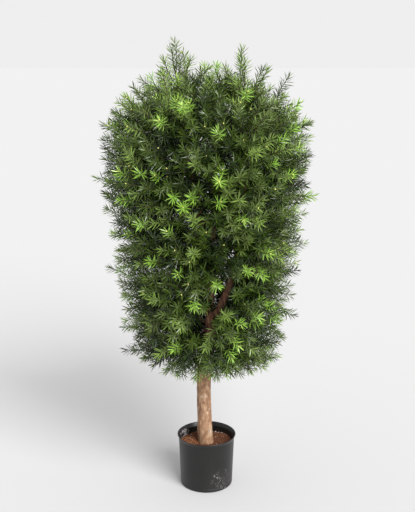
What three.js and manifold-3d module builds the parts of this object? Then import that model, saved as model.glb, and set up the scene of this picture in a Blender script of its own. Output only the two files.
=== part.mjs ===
// A potted artificial yew: a barrel-shaped crown of needle sprays on a short bare trunk,
// which forks into three boughs inside the crown and stands in the filling of a plain
// round pot. Millimetres, +Z up, -Y towards the viewer. The origin is the centre of the
// pot's flat underside.

import * as THREE from "three";
import { mergeVertices } from "three/addons/utils/BufferGeometryUtils.js";
import Module from "manifold-3d";

const wasm = await Module();
wasm.setup();

// Driving dimensions

const GAP = 0.3; // between neighbouring solids

const POT = {
  height: 156,
  footRadius: 77,
  bodyRadius: 82.6, // under the lip
  rimRadius: 86.8,
  lipHeight: 10,
  wall: 2.4,
  floor: 3,
  corner: 5,
  segments: 36,
};

const FILLING = {
  top: 127, // mean height of the crumbly top
  lump: 3, // how far it rises and falls
  rings: 4,
};

const TRUNK = {
  footRadius: 23.4,
  radius: 22,
  forkRadius: 20,
  flareHeight: 45,
  // The height of each bend, from the flat foot in the filling up to the fork, and how far
  // the trunk has drifted sideways there, in X and Y.
  bends: [
    [FILLING.top - 12, 0, 0],
    [165, -5, 0],
    [240, -6.5, 2],
    [330, -7, 3],
    [410, -2, 2],
    [485, 8, 0],
  ],
  dome: 16, // length of the rounded end between the arms of the fork
  sides: 12,
  rings: 11,
};

// Each bough drifts sideways by its spread while it climbs by its rise, and ends in a leader.
const BOUGH = { baseRadius: 11, tipRadius: 5.5, sides: 7, rings: 9, arm: 0.12 };
const LIMBS = [
  {
    name: "bough_left",
    azimuth: 172,
    spread: 88,
    rise: 590,
    drift: (t) => t * t,
    leader: { azimuth: 60, lift: 86, length: 222 },
  },
  {
    name: "bough_right",
    azimuth: -6,
    spread: 104,
    rise: 560,
    drift: (t) => 1 - (1 - t) ** 3,
    leader: { azimuth: 190, lift: 84, length: 226 },
  },
  {
    name: "bough_back",
    azimuth: 82,
    spread: 96,
    rise: 575,
    drift: (t) => 1 - (1 - t) ** 3,
    leader: { azimuth: 95, lift: 80, length: 190 },
  },
];

// The crown's outline is a body of revolution that twig tips reach, on average.
const CROWN = {
  bottom: 335,
  top: 1300,
  widest: 298,
  widestAt: 945,
  lowerTaper: 0.33,
  bottomSharpness: 30,
  shoulderPower: 3.5,
};

// Masses of foliage, in tiers from the bottom up. The middles of a tier's masses are near
// one height and lie at a depth under the crown's outline. The stems start a rise below
// them and end at an angle of lift. The last mass stands inside, between the leaders.
const TIERS = [
  { height: 432, count: 5, spin: 18, depth: 96, rise: -30, lift: -14 },
  { height: 575, count: 6, spin: 48, depth: 96, rise: 45, lift: 6 },
  { height: 745, count: 6, spin: 18, depth: 96, rise: 85, lift: 18 },
  { height: 915, count: 6, spin: 46, depth: 96, rise: 110, lift: 28 },
  { height: 1075, count: 5, spin: 10, depth: 96, rise: 130, lift: 44 },
  { height: 1115, count: 1, spin: 258, depth: 185, rise: 135, lift: 74 },
];

// A mass is a core with a stem at its back and twigs at its front. Each of them is drawn
// out of one face of the core.
const STEM = { radius: 5, bends: 4 };
const CORE = {
  across: 56,
  out: 44,
  toTip: 96, // from its middle to the mass's own tip
  rough: 0.16,
  clear: 7,
  above: 0, // how far twigs may rise above the crown's outline
  sides: 7,
  rows: 4,
};
const LEADER_CORE = { ...CORE, across: 44, out: 50, toTip: 104, above: 55 };
const TWIG = {
  count: 15,
  spread: 138, // of the tips, around the mass's own tip
  bulge: 230, // radius of the face that the tips lie on
  shortest: 42,
  root: 0.12, // part of its length over which it narrows from its face
  radius: 4.9,
  tries: 6,
  shorten: 0.88, // at each try, until the twig keeps to its mass's space
};
const SPRAY = {
  from: 0.46, // the needles around the twig spring from this part of its length
  to: 0.76,
  needle: 45,
  needleAngle: 56, // from the twig
  tipNeedle: 37,
  tipAngle: 30,
};
const CLEAR = { space: 1.5, stem: 7, twig: 7.5, needle: 4 };
const GOLDEN_ANGLE = Math.PI * (3 - Math.sqrt(5));
const SEED = 41;

// Materials

const material = (name, color, roughness) =>
  Object.assign(new THREE.MeshStandardMaterial({ color, roughness, metalness: 0 }), {
    name,
  });
const blackPlastic = material("black plastic", 0x34332f, 0.5);
const brownFilling = material("brown filling", 0x7a4a30, 0.95);
const paleWood = material("pale wood", 0xa07c5e, 0.8);
const redBark = material("red bark", 0x5a3426, 0.85);
const needleGreens = [0x2c4018, 0x36501f, 0x3f5d26].map((green, i) =>
  material("needle green " + (i + 1), green, 0.55),
);

// Small helpers

const radians = THREE.MathUtils.degToRad;
const lerp = THREE.MathUtils.lerp;
const vec = (x, y, z) => new THREE.Vector3(x, y, z);

// A repeatable source of numbers from 0 to 1.
function seededRandom(seed) {
  let state = seed >>> 0;
  return () => {
    state = (state + 0x6d2b79f5) >>> 0;
    let mixed = Math.imul(state ^ (state >>> 15), state | 1);
    mixed ^= mixed + Math.imul(mixed ^ (mixed >>> 7), mixed | 61);
    return ((mixed ^ (mixed >>> 14)) >>> 0) / 4294967296;
  };
}

// A unit vector at an azimuth from +X and an angle of lift above the level, in degrees.
function direction(azimuth, lift) {
  const [a, e] = [radians(azimuth), radians(lift)];
  return vec(Math.cos(a) * Math.cos(e), Math.sin(a) * Math.cos(e), Math.sin(e));
}

// Bends a unit cylinder, whose axis runs from Y = -0.5 to 0.5, along a curve. Its rings go
// to the given stations of the curve, and radiusAt gives the radius there. The radius may
// also depend on the angle around the axis.
function bendAlong(curve, stations, radiusAt, sides) {
  const geometry = new THREE.CylinderGeometry(1, 1, 1, sides, stations.length - 1);
  const position = geometry.getAttribute("position");
  const chord = curve.getPoint(1).sub(curve.getPoint(0)).normalize();
  const reference = Math.abs(chord.z) > 0.75 ? vec(1, 0, 0) : vec(0, 0, 1);
  const rings = stations.map((t) => {
    const along = curve.getTangent(t);
    const side = vec(0, 0, 0).crossVectors(reference, along).normalize();
    return { at: curve.getPoint(t), side, up: vec(0, 0, 0).crossVectors(along, side) };
  });
  for (let i = 0; i < position.count; i += 1) {
    const [x, y, z] = [position.getX(i), position.getY(i), position.getZ(i)];
    const ring = Math.round((y + 0.5) * (stations.length - 1));
    const angle = Math.atan2(z, x);
    const radius = Math.hypot(x, z) * radiusAt(stations[ring], angle);
    const { at, side, up } = rings[ring];
    const point = at
      .clone()
      .addScaledVector(side, Math.sin(angle) * radius)
      .addScaledVector(up, Math.cos(angle) * radius);
    position.setXYZ(i, point.x, point.y, point.z);
  }
  return geometry;
}

const evenStations = (count, from = 0, to = 1) =>
  Array.from({ length: count + 1 }, (_, i) => lerp(from, to, i / count));

// Solids, for joining and cutting

function solidOf(geometry) {
  const bare = new THREE.BufferGeometry();
  bare.setAttribute("position", geometry.getAttribute("position"));
  bare.setIndex(geometry.index);
  const merged = mergeVertices(bare, 1e-4);
  return new wasm.Manifold(
    new wasm.Mesh({
      numProp: 3,
      vertProperties: merged.getAttribute("position").array,
      triVerts: new Uint32Array(merged.index.array),
    }),
  );
}

function geometryOf(solid) {
  const mesh = solid.getMesh();
  const geometry = new THREE.BufferGeometry();
  geometry.setAttribute(
    "position",
    new THREE.BufferAttribute(new Float32Array(mesh.vertProperties), 3),
  );
  geometry.setIndex(new THREE.BufferAttribute(new Uint32Array(mesh.triVerts), 1));
  geometry.computeVertexNormals();
  return geometry;
}

const joined = (solids) => solids.reduce((whole, solid) => whole.add(solid));
const without = (solid, cutters) =>
  cutters.reduce((rest, cutter) => rest.subtract(cutter), solid);
const largestBody = (solid) =>
  solid.decompose().reduce((a, b) => (a.volume() >= b.volume() ? a : b));

// Pot: a tapered cup with a rounded foot and a lip that flares a little

const wallRadius = (z) =>
  lerp(POT.footRadius, POT.bodyRadius, z / (POT.height - POT.lipHeight));

function potGeometry() {
  const outline = new THREE.Path();
  const { height, footRadius, rimRadius, lipHeight, wall, floor, corner } = POT;
  const lipStart = height - lipHeight;
  const edge = wall / 2;
  outline.moveTo(0, 0);
  outline.lineTo(footRadius - corner, 0);
  outline.quadraticCurveTo(footRadius, 0, wallRadius(corner), corner);
  outline.lineTo(wallRadius(lipStart), lipStart);
  outline.quadraticCurveTo(
    wallRadius(lipStart + lipHeight / 2),
    lipStart + lipHeight / 2,
    rimRadius,
    height - edge,
  );
  outline.lineTo(rimRadius - edge, height);
  outline.lineTo(rimRadius - wall, height - edge);
  outline.lineTo(wallRadius(lipStart) - wall, lipStart);
  outline.lineTo(wallRadius(floor) - wall, floor);
  outline.lineTo(0, floor);
  return new THREE.LatheGeometry(outline.getPoints(2), POT.segments).rotateX(Math.PI / 2);
}

// Filling: a plug that stands on the pot's floor, with a crumbly, uneven top

const lumpAt = (x, y) =>
  FILLING.lump *
  (0.6 * Math.sin(x / 17 + 0.8) * Math.cos(y / 21) - 0.4 * Math.sin((x + 1.7 * y) / 29));

function fillingGeometry() {
  const { top, rings } = FILLING;
  const base = POT.floor + GAP;
  const inner = (z) => wallRadius(z) - POT.wall - GAP;
  const profile = [new THREE.Vector2(0, base), new THREE.Vector2(inner(base), base)];
  for (let ring = rings; ring >= 0; ring -= 1)
    profile.push(new THREE.Vector2((inner(top) * ring) / rings, top));
  const geometry = new THREE.LatheGeometry(profile, POT.segments).rotateX(Math.PI / 2);
  const position = geometry.getAttribute("position");
  for (let i = 0; i < position.count; i += 1)
    if (position.getZ(i) > top - 1)
      position.setZ(i, top + lumpAt(position.getX(i), position.getY(i)));
  return geometry;
}

// Trunk and boughs

const trunkCurve = new THREE.CatmullRomCurve3(TRUNK.bends.map(([z, x, y]) => vec(x, y, z)));
const trunkFoot = TRUNK.bends[0][0];
const fork = trunkCurve.getPoint(1);

// The trunk's radius at a station of its curve: a flared foot, a slight taper, a few
// flats and swellings around it, and a rounded end.
function trunkRadius(t, angle) {
  const z = trunkCurve.getPoint(t).z;
  const flare = Math.max(0, 1 - (z - trunkFoot) / TRUNK.flareHeight) ** 2;
  const taper = lerp(TRUNK.radius, TRUNK.forkRadius, t);
  const uneven = 0.5 * Math.sin(2 * angle + z / 60) + 0.35 * Math.sin(3 * angle - z / 37);
  const toEnd = Math.min(1, (fork.z - z) / TRUNK.dome);
  const dome = Math.sqrt(1 - (1 - toEnd) ** 2 * 0.9);
  return (taper + flare * (TRUNK.footRadius - TRUNK.radius) + uneven) * dome;
}

const boughRadius = (t) => lerp(BOUGH.baseRadius, BOUGH.tipRadius, t);

const limbs = LIMBS.map((limb) => {
  const out = direction(limb.azimuth, 0);
  const points = evenStations(6).map((t) =>
    fork
      .clone()
      .addScaledVector(out, limb.spread * limb.drift(t))
      .add(vec(0, 0, limb.rise * t)),
  );
  return { ...limb, curve: new THREE.CatmullRomCurve3(points) };
});

// A bough starts face to face with its arm of the fork, and stops short of its leader.
function boughSolid(limb, grown = 0) {
  const gap = (2 * GAP - grown) / limb.rise;
  return solidOf(
    bendAlong(
      limb.curve,
      evenStations(BOUGH.rings, BOUGH.arm + gap, 1 - gap),
      (t) => boughRadius(t) + grown,
      BOUGH.sides,
    ),
  );
}

function trunkSolid(grown = 0) {
  const shoulder = 1 - (0.4 * TRUNK.dome) / (fork.z - trunkFoot);
  const stations = [...evenStations(TRUNK.rings).slice(0, -1), shoulder, 1];
  const pole = bendAlong(
    trunkCurve,
    stations,
    (t, angle) => trunkRadius(t, angle) + grown,
    TRUNK.sides,
  );
  const arms = limbs.map((limb) =>
    solidOf(
      bendAlong(
        limb.curve,
        evenStations(2, 0, BOUGH.arm),
        (t) => boughRadius(t) + grown,
        BOUGH.sides,
      ),
    ),
  );
  const sunk = vec(0, 0, -TRUNK.dome);
  const roots = limbs.map((limb) => {
    const root = new THREE.LineCurve3(fork.clone().add(sunk), limb.curve.getPoint(0.02));
    return solidOf(bendAlong(root, [0, 1], () => BOUGH.baseRadius + grown, BOUGH.sides));
  });
  return joined([solidOf(pole), ...arms, ...roots]);
}

// Crown: the layout of the masses

// The crown's mean radius at a height.
function crownRadius(z) {
  const { bottom, top, widest, widestAt, lowerTaper, bottomSharpness } = CROWN;
  if (z < widestAt) {
    const down = Math.min(1, (widestAt - z) / (widestAt - bottom));
    return widest * (1 - lowerTaper * down) * (1 - down ** bottomSharpness);
  }
  const up = Math.min(1, (z - widestAt) / (top - widestAt));
  return widest * (1 - up ** CROWN.shoulderPower);
}

// The point of the axis that carries a mass's stem at a height: the trunk's below the fork,
// and above it that of the nearest bough.
function carrierAt(z, near) {
  if (z < fork.z) return trunkCurve.getPoint((z - trunkFoot) / (fork.z - trunkFoot));
  const places = limbs
    .filter((limb) => z < fork.z + limb.rise)
    .map((limb) => limb.curve.getPoint((z - fork.z) / limb.rise));
  const away = (at) => Math.hypot(at.x - near.x, at.y - near.y);
  return places.reduce((a, b) => (away(a) <= away(b) ? a : b));
}

// The masses of the tiers, around the limbs, and one leader on the tip of each bough.
function layOut() {
  const masses = [];
  TIERS.forEach((tier, row) => {
    for (let k = 0; k < tier.count; k += 1) {
      const random = seededRandom(SEED + 97 * row + 7 * k);
      const azimuth = tier.spin + (360 * k) / tier.count + 15 * (random() - 0.5);
      const z = tier.height + (k % 2 ? 22 : -22) + 24 * (random() - 0.5);
      const way = direction(azimuth, tier.lift);
      const middle = direction(azimuth, 0)
        .multiplyScalar(crownRadius(z) * lerp(0.93, 1, random()) - tier.depth)
        .setZ(z);
      const startAt = z - tier.rise + 11 * (k - (tier.count - 1) / 2);
      const start = carrierAt(startAt, middle);
      masses.push({ name: `foliage_${row + 1}_${k + 1}`, random, way, start, middle, core: CORE });
    }
  });
  limbs.forEach((limb, k) => {
    const { azimuth, lift, length } = limb.leader;
    const way = direction(azimuth, lift);
    const start = limb.curve.getPoint(1);
    const middle = start.clone().addScaledVector(way, length - LEADER_CORE.toTip);
    const name = limb.name.replace("bough", "leader");
    const random = seededRandom(SEED + 700 + k);
    masses.push({ name, random, way, start, middle, core: LEADER_CORE });
  });
  masses.forEach((mass) => {
    const { start, middle, way } = mass;
    const bend = middle.clone().addScaledVector(way, -0.45 * start.distanceTo(middle));
    mass.stem = new THREE.QuadraticBezierCurve3(start, bend, middle);
    mass.samples = [0.25, 0.5, 0.75, 1].map((t) => mass.stem.getPoint(t));
    mass.samples.push(middle.clone().addScaledVector(way, mass.core.toTip));
    mass.stemLines = linesOf(mass.stem, STEM.bends);
  });
  return masses;
}

// A curve as a chain of short straight lines.
function linesOf(curve, count) {
  const points = evenStations(count).map((t) => curve.getPoint(t));
  return points.slice(1).map((point, i) => new THREE.Line3(points[i], point));
}

const masses = layOut();

// How far a point is from the nearest sample of a mass's stem.
const awayFrom = (mass, point) =>
  Math.min(...mass.samples.map((sample) => sample.distanceTo(point)));

const limbPoints = limbs.flatMap((limb) =>
  evenStations(60).map((t) => ({ at: limb.curve.getPoint(t), radius: boughRadius(t) })),
);
evenStations(60).forEach((t) =>
  limbPoints.push({ at: trunkCurve.getPoint(t), radius: TRUNK.radius + 1 }),
);

function isNearStem(mass, point) {
  const nearest = vec(0, 0, 0);
  return mass.stemLines.some(
    (line) => line.closestPointToPoint(point, true, nearest).distanceTo(point) < CLEAR.stem,
  );
}

// A mass's own space is where its samples are nearer than any other mass's, inside the
// crown, and clear of the limbs and of the others' stems.
function holds(mass, point, clear = CLEAR.space) {
  const own = awayFrom(mass, point);
  return (
    point.z > CROWN.bottom &&
    point.z < CROWN.top &&
    masses.every(
      (other) =>
        other === mass ||
        (awayFrom(other, point) > own + 2 * clear && !isNearStem(other, point)),
    ) &&
    limbPoints.every(({ at, radius }) => at.distanceTo(point) > radius + clear + 1)
  );
}

// Masses of foliage

// The faces of a mass's core: a rough dome around its middle, kept inside its space.
function coreFaces(mass) {
  const { across, out, rough, clear, sides, rows } = mass.core;
  const geometry = new THREE.SphereGeometry(1, sides, rows);
  geometry.deleteAttribute("normal");
  geometry.deleteAttribute("uv");
  const merged = mergeVertices(geometry);
  const position = merged.getAttribute("position");
  const turn = new THREE.Quaternion().setFromUnitVectors(vec(0, 1, 0), mass.way);
  const spin = new THREE.Quaternion().setFromAxisAngle(mass.way, 6 * mass.random());
  const corners = Array.from({ length: position.count }, (_, i) => {
    const ray = vec(0, 0, 0).fromBufferAttribute(position, i);
    ray.multiply(vec(across, out, across)).applyQuaternion(turn).applyQuaternion(spin);
    ray.multiplyScalar(1 + rough * (2 * mass.random() - 1));
    while (ray.length() > 6 && !holds(mass, mass.middle.clone().add(ray), clear))
      ray.multiplyScalar(0.9);
    return ray.add(mass.middle);
  });
  const faces = [];
  for (let i = 0; i < merged.index.count; i += 3)
    faces.push([0, 1, 2].map((k) => corners[merged.index.getX(i + k)]));
  return faces;
}

const middleOf = ([a, b, c]) => a.clone().add(b).add(c).divideScalar(3);
const normalOf = ([a, b, c]) => new THREE.Triangle(a, b, c).getNormal(vec(0, 0, 0));

// Raises a face to a tip: three faces take its place.
const raised = ([a, b, c], tip) => [
  [a, b, tip],
  [b, c, tip],
  [c, a, tip],
];

// Draws a face out into a three-sided limb along a curve. Returns the faces of each of its
// bands, and its end.
function drawnOut(face, curve, stations, radius) {
  const from = curve.getPoint(0);
  const bands = [];
  let ring = face;
  for (const t of stations) {
    const along = curve.getTangent(t);
    const next = face.map((corner) => {
      const out = corner.clone().sub(from);
      out.addScaledVector(along, -out.dot(along)).normalize();
      return curve.getPoint(t).addScaledVector(out, radius);
    });
    const band = [];
    for (let k = 0; k < 3; k += 1) {
      const l = (k + 1) % 3;
      band.push([ring[k], ring[l], next[l]], [ring[k], next[l], next[k]]);
    }
    bands.push(band);
    ring = next;
  }
  return { bands, end: ring };
}

// The tips of a mass's twigs: a sunflower spread on a bulging face around its own tip,
// lifted to the crown's underside where it would hang below that.
function twigTarget(mass, k) {
  const radius = TWIG.spread * Math.sqrt((k + 0.4) / TWIG.count);
  const turn = k * GOLDEN_ANGLE + 0.6 * mass.random();
  const side = vec(0, 0, 1).cross(mass.way).normalize();
  const up = mass.way.clone().cross(side);
  const reach = mass.core.toTip - radius ** 2 / (2 * TWIG.bulge) - 26 * mass.random();
  const target = mass.middle
    .clone()
    .addScaledVector(side, Math.cos(turn) * radius)
    .addScaledVector(up, Math.sin(turn) * radius)
    .addScaledVector(mass.way, reach);
  return target.setZ(Math.max(target.z, CROWN.bottom + 28));
}

const isClearOf = (line, others, distance) =>
  others.every((other) => line.distanceSqToLine3(other) > distance ** 2);

// The curve of a twig from a face of the core to its target, shortened until the mass's
// space has room for it, or nothing where it would become too short.
function twigCurve(mass, face, target, lines) {
  const from = middleOf(face);
  const tip = target.clone();
  for (let left = TWIG.tries; left > 0; left -= 1) {
    const length = from.distanceTo(tip);
    if (length < TWIG.shortest) break;
    const line = new THREE.Line3(from.clone().lerp(tip, 0.3), tip);
    const inCrown = Math.hypot(tip.x, tip.y) < crownRadius(tip.z - mass.core.above);
    const inSpace = [0.4, 0.7, 1].every((t) => holds(mass, line.at(t, vec(0, 0, 0))));
    if (inCrown && inSpace && isClearOf(line, lines, 2 * CLEAR.twig)) {
      lines.push(line);
      const bend = from.clone().addScaledVector(normalOf(face), 0.3 * length);
      const curve = new THREE.QuadraticBezierCurve3(from, bend.lerp(tip, 0.2), tip);
      return Object.assign(curve, { line });
    }
    tip.lerpVectors(from, tip, TWIG.shorten);
  }
  return null;
}

// The twigs of a mass, by the face of the core that each is drawn out of: for each target,
// the free face at the front that best looks towards it.
function growTwigs(mass, core) {
  const twigs = core.map(() => null);
  const lines = [];
  for (let k = 0; k < TWIG.count; k += 1) {
    const target = twigTarget(mass, k);
    const way = target.clone().sub(mass.middle).normalize();
    const aims = core.map((face, i) =>
      twigs[i] || normalOf(face).dot(mass.way) < -0.2
        ? -1
        : middleOf(face).sub(mass.middle).normalize().dot(way),
    );
    const best = aims.indexOf(Math.max(...aims));
    twigs[best] = twigCurve(mass, core[best], target, lines);
  }
  return twigs;
}

// The tip of the needle on a face of a twig: outwards from the twig and forwards.
function needleTip(face, curve, t, length, angle) {
  const along = curve.getTangent(t);
  const middle = middleOf(face);
  const out = middle.clone().sub(curve.getPoint(t));
  out.addScaledVector(along, -out.dot(along)).normalize();
  return middle
    .addScaledVector(out, length * Math.sin(radians(angle)))
    .addScaledVector(along, length * Math.cos(radians(angle)));
}

// The faces of a twig with its spray: a root, a bare part, needles around it and on its tip.
// A needle that would meet another twig or its needles, or leave the space, is left out.
function sprayFaces(mass, face, curve, otherTwigs, needles) {
  const { from, to, needle, needleAngle, tipNeedle, tipAngle } = SPRAY;
  const { bands, end } = drawnOut(face, curve, [TWIG.root, from, to], TWIG.radius);
  const own = [];
  const withNeedle = (side, t, length, angle) => {
    const tip = needleTip(side, curve, t, length, angle);
    const line = new THREE.Line3(middleOf(side), tip);
    const fits =
      [0.4, 0.7, 1].every((part) => holds(mass, line.at(part, vec(0, 0, 0)))) &&
      isClearOf(line, otherTwigs, CLEAR.twig) &&
      isClearOf(line, needles, CLEAR.needle);
    if (!fits) return [side];
    own.push(line);
    return raised(side, tip);
  };
  const around = bands[2].flatMap((side) =>
    withNeedle(side, (from + to) / 2, needle, needleAngle),
  );
  const atTip = raised(end, curve.getPoint(1)).flatMap((side) =>
    withNeedle(side, (to + 1) / 2, tipNeedle, tipAngle),
  );
  needles.push(...own);
  return [...bands[0], ...bands[1], ...around, ...atTip];
}

// The faces of a mass's stem, from the back of its core to its start inside a limb.
function stemFaces(mass, face) {
  const curve = new THREE.QuadraticBezierCurve3(
    middleOf(face),
    mass.stem.getPoint(0.6),
    mass.start,
  );
  const { bands, end } = drawnOut(face, curve, evenStations(STEM.bends).slice(1), STEM.radius);
  return [...bands.flat(), end];
}

// A mass is one closed surface: its core's hindmost face grows into the stem, and some of
// the faces at the front grow into twigs. It's then cut clear of the limbs.
function massSolid(mass, cutters) {
  const core = coreFaces(mass);
  const looksBack = core.map((face) => -normalOf(face).dot(mass.way));
  const back = looksBack.indexOf(Math.max(...looksBack));
  const twigs = growTwigs(mass, core);
  const needles = [];
  const faces = core.flatMap((face, i) => {
    if (i === back) return stemFaces(mass, face);
    if (!twigs[i]) return [face];
    const others = twigs.filter((twig) => twig && twig !== twigs[i]);
    return sprayFaces(mass, face, twigs[i], others.map(({ line }) => line), needles);
  });
  const surface = new THREE.BufferGeometry().setFromPoints(faces.flat());
  return largestBody(without(solidOf(surface), cutters));
}

// Assembly

const model = new THREE.Group();

function addMesh(name, geometry, finish) {
  const mesh = new THREE.Mesh(geometry, finish);
  mesh.name = name;
  model.add(mesh);
}

addMesh("pot", potGeometry(), blackPlastic);
const socket = trunkSolid(GAP).add(trunkSolid(GAP).translate([0, 0, -GAP]));
addMesh("filling", geometryOf(solidOf(fillingGeometry()).subtract(socket)), brownFilling);
addMesh("trunk", geometryOf(trunkSolid()), paleWood);
for (const limb of limbs) addMesh(limb.name, geometryOf(boughSolid(limb)), redBark);
const grownLimbs = [trunkSolid(GAP), ...limbs.map((limb) => boughSolid(limb, GAP))];
masses.forEach((mass, i) =>
  addMesh(mass.name, geometryOf(massSolid(mass, grownLimbs)), needleGreens[i % 3]),
);

export default model;
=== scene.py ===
"""A potted artificial yew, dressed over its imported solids.

The plant is a black plastic pot with a crumbly brown filling, a bare trunk of pale wood that
forks into three boughs, and a barrel-shaped crown. The masses of foliage are laid out by the
same seeded rule as the solids, and carried on to finer shoots with single needles. Lengths
are in millimetres until a mesh is made, +Z is up and -Y faces the viewer.
"""

import logging
import math
from dataclasses import dataclass, replace
from enum import Enum
from functools import cache
from typing import Sequence

import bpy
import numpy as np
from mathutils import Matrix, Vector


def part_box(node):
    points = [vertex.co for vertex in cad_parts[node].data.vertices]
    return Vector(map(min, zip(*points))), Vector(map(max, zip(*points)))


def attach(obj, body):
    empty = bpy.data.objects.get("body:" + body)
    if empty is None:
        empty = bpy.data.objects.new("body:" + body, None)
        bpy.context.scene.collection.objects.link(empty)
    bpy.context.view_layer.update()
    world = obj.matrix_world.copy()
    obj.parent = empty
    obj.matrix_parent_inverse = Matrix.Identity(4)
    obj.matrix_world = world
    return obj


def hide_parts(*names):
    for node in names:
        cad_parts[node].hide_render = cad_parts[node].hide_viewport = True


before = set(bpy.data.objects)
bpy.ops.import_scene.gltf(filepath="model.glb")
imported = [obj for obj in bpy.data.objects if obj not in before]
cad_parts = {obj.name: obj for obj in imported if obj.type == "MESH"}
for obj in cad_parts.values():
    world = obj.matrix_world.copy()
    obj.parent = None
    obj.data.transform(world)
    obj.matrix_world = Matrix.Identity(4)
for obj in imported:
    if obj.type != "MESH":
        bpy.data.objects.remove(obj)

log = logging.getLogger("yew")

MM = 0.001
GOLDEN_ANGLE = math.pi * (3 - math.sqrt(5))
ROOT_BODY = "root"
WORD = 0xFFFFFFFF  # the largest number of 32 bits

Array = np.ndarray
Generator = np.random.Generator
Colour = tuple[float, float, float]
Place = tuple[float, float, float]
Socket = bpy.types.NodeSocket
Material = bpy.types.Material


# Numbers and vectors


class RuleNumbers:
    """The repeatable numbers from 0 to 1 that lay out the masses of foliage."""

    STEP = 0x6D2B79F5  # what the counter grows by at each draw

    def __init__(self, seed: int) -> None:
        """Starts the row of numbers that belongs to a seed."""
        self.state = seed & WORD

    def draw(self) -> float:
        """Mixes the next number from a counter, by shifts and products of 32 bits.

        Returns:
            A number from 0 to 1.
        """
        self.state = (self.state + self.STEP) & WORD
        mixed = ((self.state ^ (self.state >> 15)) * (self.state | 1)) & WORD
        product = ((mixed ^ (mixed >> 7)) * (mixed | 61)) & WORD
        mixed ^= (mixed + product) & WORD
        return (mixed ^ (mixed >> 14)) / (WORD + 1)


def unit(vectors: Array) -> Array:
    """Returns the vectors at length 1, along the last axis."""
    return vectors / np.maximum(np.linalg.norm(vectors, axis=-1, keepdims=True), 1e-9)


def dot(a: Array, b: Array) -> Array:
    """Returns the products of two rows of vectors, with the last axis kept."""
    return np.sum(a * b, axis=-1, keepdims=True)


def across(vectors: Array) -> Array:
    """Returns a unit vector square to each vector: its product with the axis it follows least."""
    axis = np.eye(3)[np.argmin(np.abs(vectors), axis=-1)]
    return unit(np.cross(vectors, axis))


def direction(azimuth: float, lift: float) -> Array:
    """Returns the unit vector at an azimuth from +X and a lift above the level, in degrees."""
    a, e = math.radians(azimuth), math.radians(lift)
    return np.array([math.cos(a) * math.cos(e), math.sin(a) * math.cos(e), math.sin(e)])


def turns(count: int) -> Array:
    """Returns a number of angles, evenly round a circle."""
    return np.linspace(0, 2 * math.pi, count, endpoint=False)


def level_ring(angle: Array) -> Array:
    """Returns the level unit vectors at an array of angles."""
    return np.stack([np.cos(angle), np.sin(angle), np.zeros_like(angle)], axis=-1)


def blend(low: Array | float, high: Array | float, part: Array) -> Array:
    """Returns low where part is 0, high where it is 1, and a straight line between."""
    return low + (high - low) * part


def smooth_step(values: Array, low: float, high: float) -> Array:
    """Returns 0 below low, 1 above high, and 3u^2 - 2u^3 between."""
    u = np.clip((values - low) / (high - low), 0, 1)
    return u * u * (3 - 2 * u)


@dataclass(frozen=True)
class Fade:
    """An amount that comes in smoothly between two measures."""

    amount: float
    start: float
    end: float

    def at(self, values: Array) -> Array:
        """Returns the share of the amount at each value."""
        return self.amount * smooth_step(values, self.start, self.end)


def ripples(
    points: Array, wavelength: float, seed: int, stretch: Place = (1, 1, 1), count: int = 24
) -> Array:
    """A smooth uneven field over points of space.

    It is the sum of plane waves in seeded directions, each sin(k.p + phase) with k near
    2 pi / wavelength, divided by the root of half their count, so that it mostly lies
    between -2 and 2.

    Args:
        points: places, with x, y and z on the last axis.
        wavelength: mean length of a wave, in millimetres.
        seed: picks the directions and phases.
        stretch: how many times longer the waves are along X, Y and Z.
        count: number of waves.

    Returns:
        The field at each point.
    """
    rng = np.random.default_rng(seed)
    ways = unit(rng.normal(size=(count, 3))) / np.array(stretch)
    ways *= (2 * math.pi / wavelength) * rng.uniform(0.6, 1.6, (count, 1))
    phases = rng.uniform(0, 2 * math.pi, count)
    return np.sin(points @ ways.T + phases).sum(axis=-1) / math.sqrt(count / 2)


# Meshes


@dataclass
class Shape:
    """Points in millimetres, arrays of faces with as many corners each, and their finishes."""

    points: Array
    faces: list[Array]
    finishes: list[Array] | None = None

    def __post_init__(self) -> None:
        """Gives every face the first finish, unless the finishes are stated."""
        if self.finishes is None:
            self.finishes = [np.zeros(len(part), dtype=np.int32) for part in self.faces]

    def finished(self, finish: int) -> "Shape":
        """Returns this shape with one finish on all its faces."""
        return Shape(self.points, self.faces, [np.full(len(f), finish) for f in self.faces])


def joined(shapes: Sequence[Shape]) -> Shape:
    """Puts several shapes into one, each with its corners moved on past the others'.

    Args:
        shapes: the shapes.

    Returns:
        The one shape, with their finishes.
    """
    faces: list[Array] = []
    finishes: list[Array] = []
    start = 0
    for shape in shapes:
        faces += [part + start for part in shape.faces]
        finishes += shape.finishes
        start += len(shape.points)
    return Shape(np.concatenate([shape.points for shape in shapes]), faces, finishes)


def new_object(name: str, data: bpy.types.ID) -> bpy.types.Object:
    """Puts a mesh, a camera or a light into the scene.

    Args:
        name: the object's name.
        data: what it holds.

    Returns:
        The object.
    """
    made = bpy.data.objects.new(name, data)
    bpy.context.scene.collection.objects.link(made)
    return made


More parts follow.
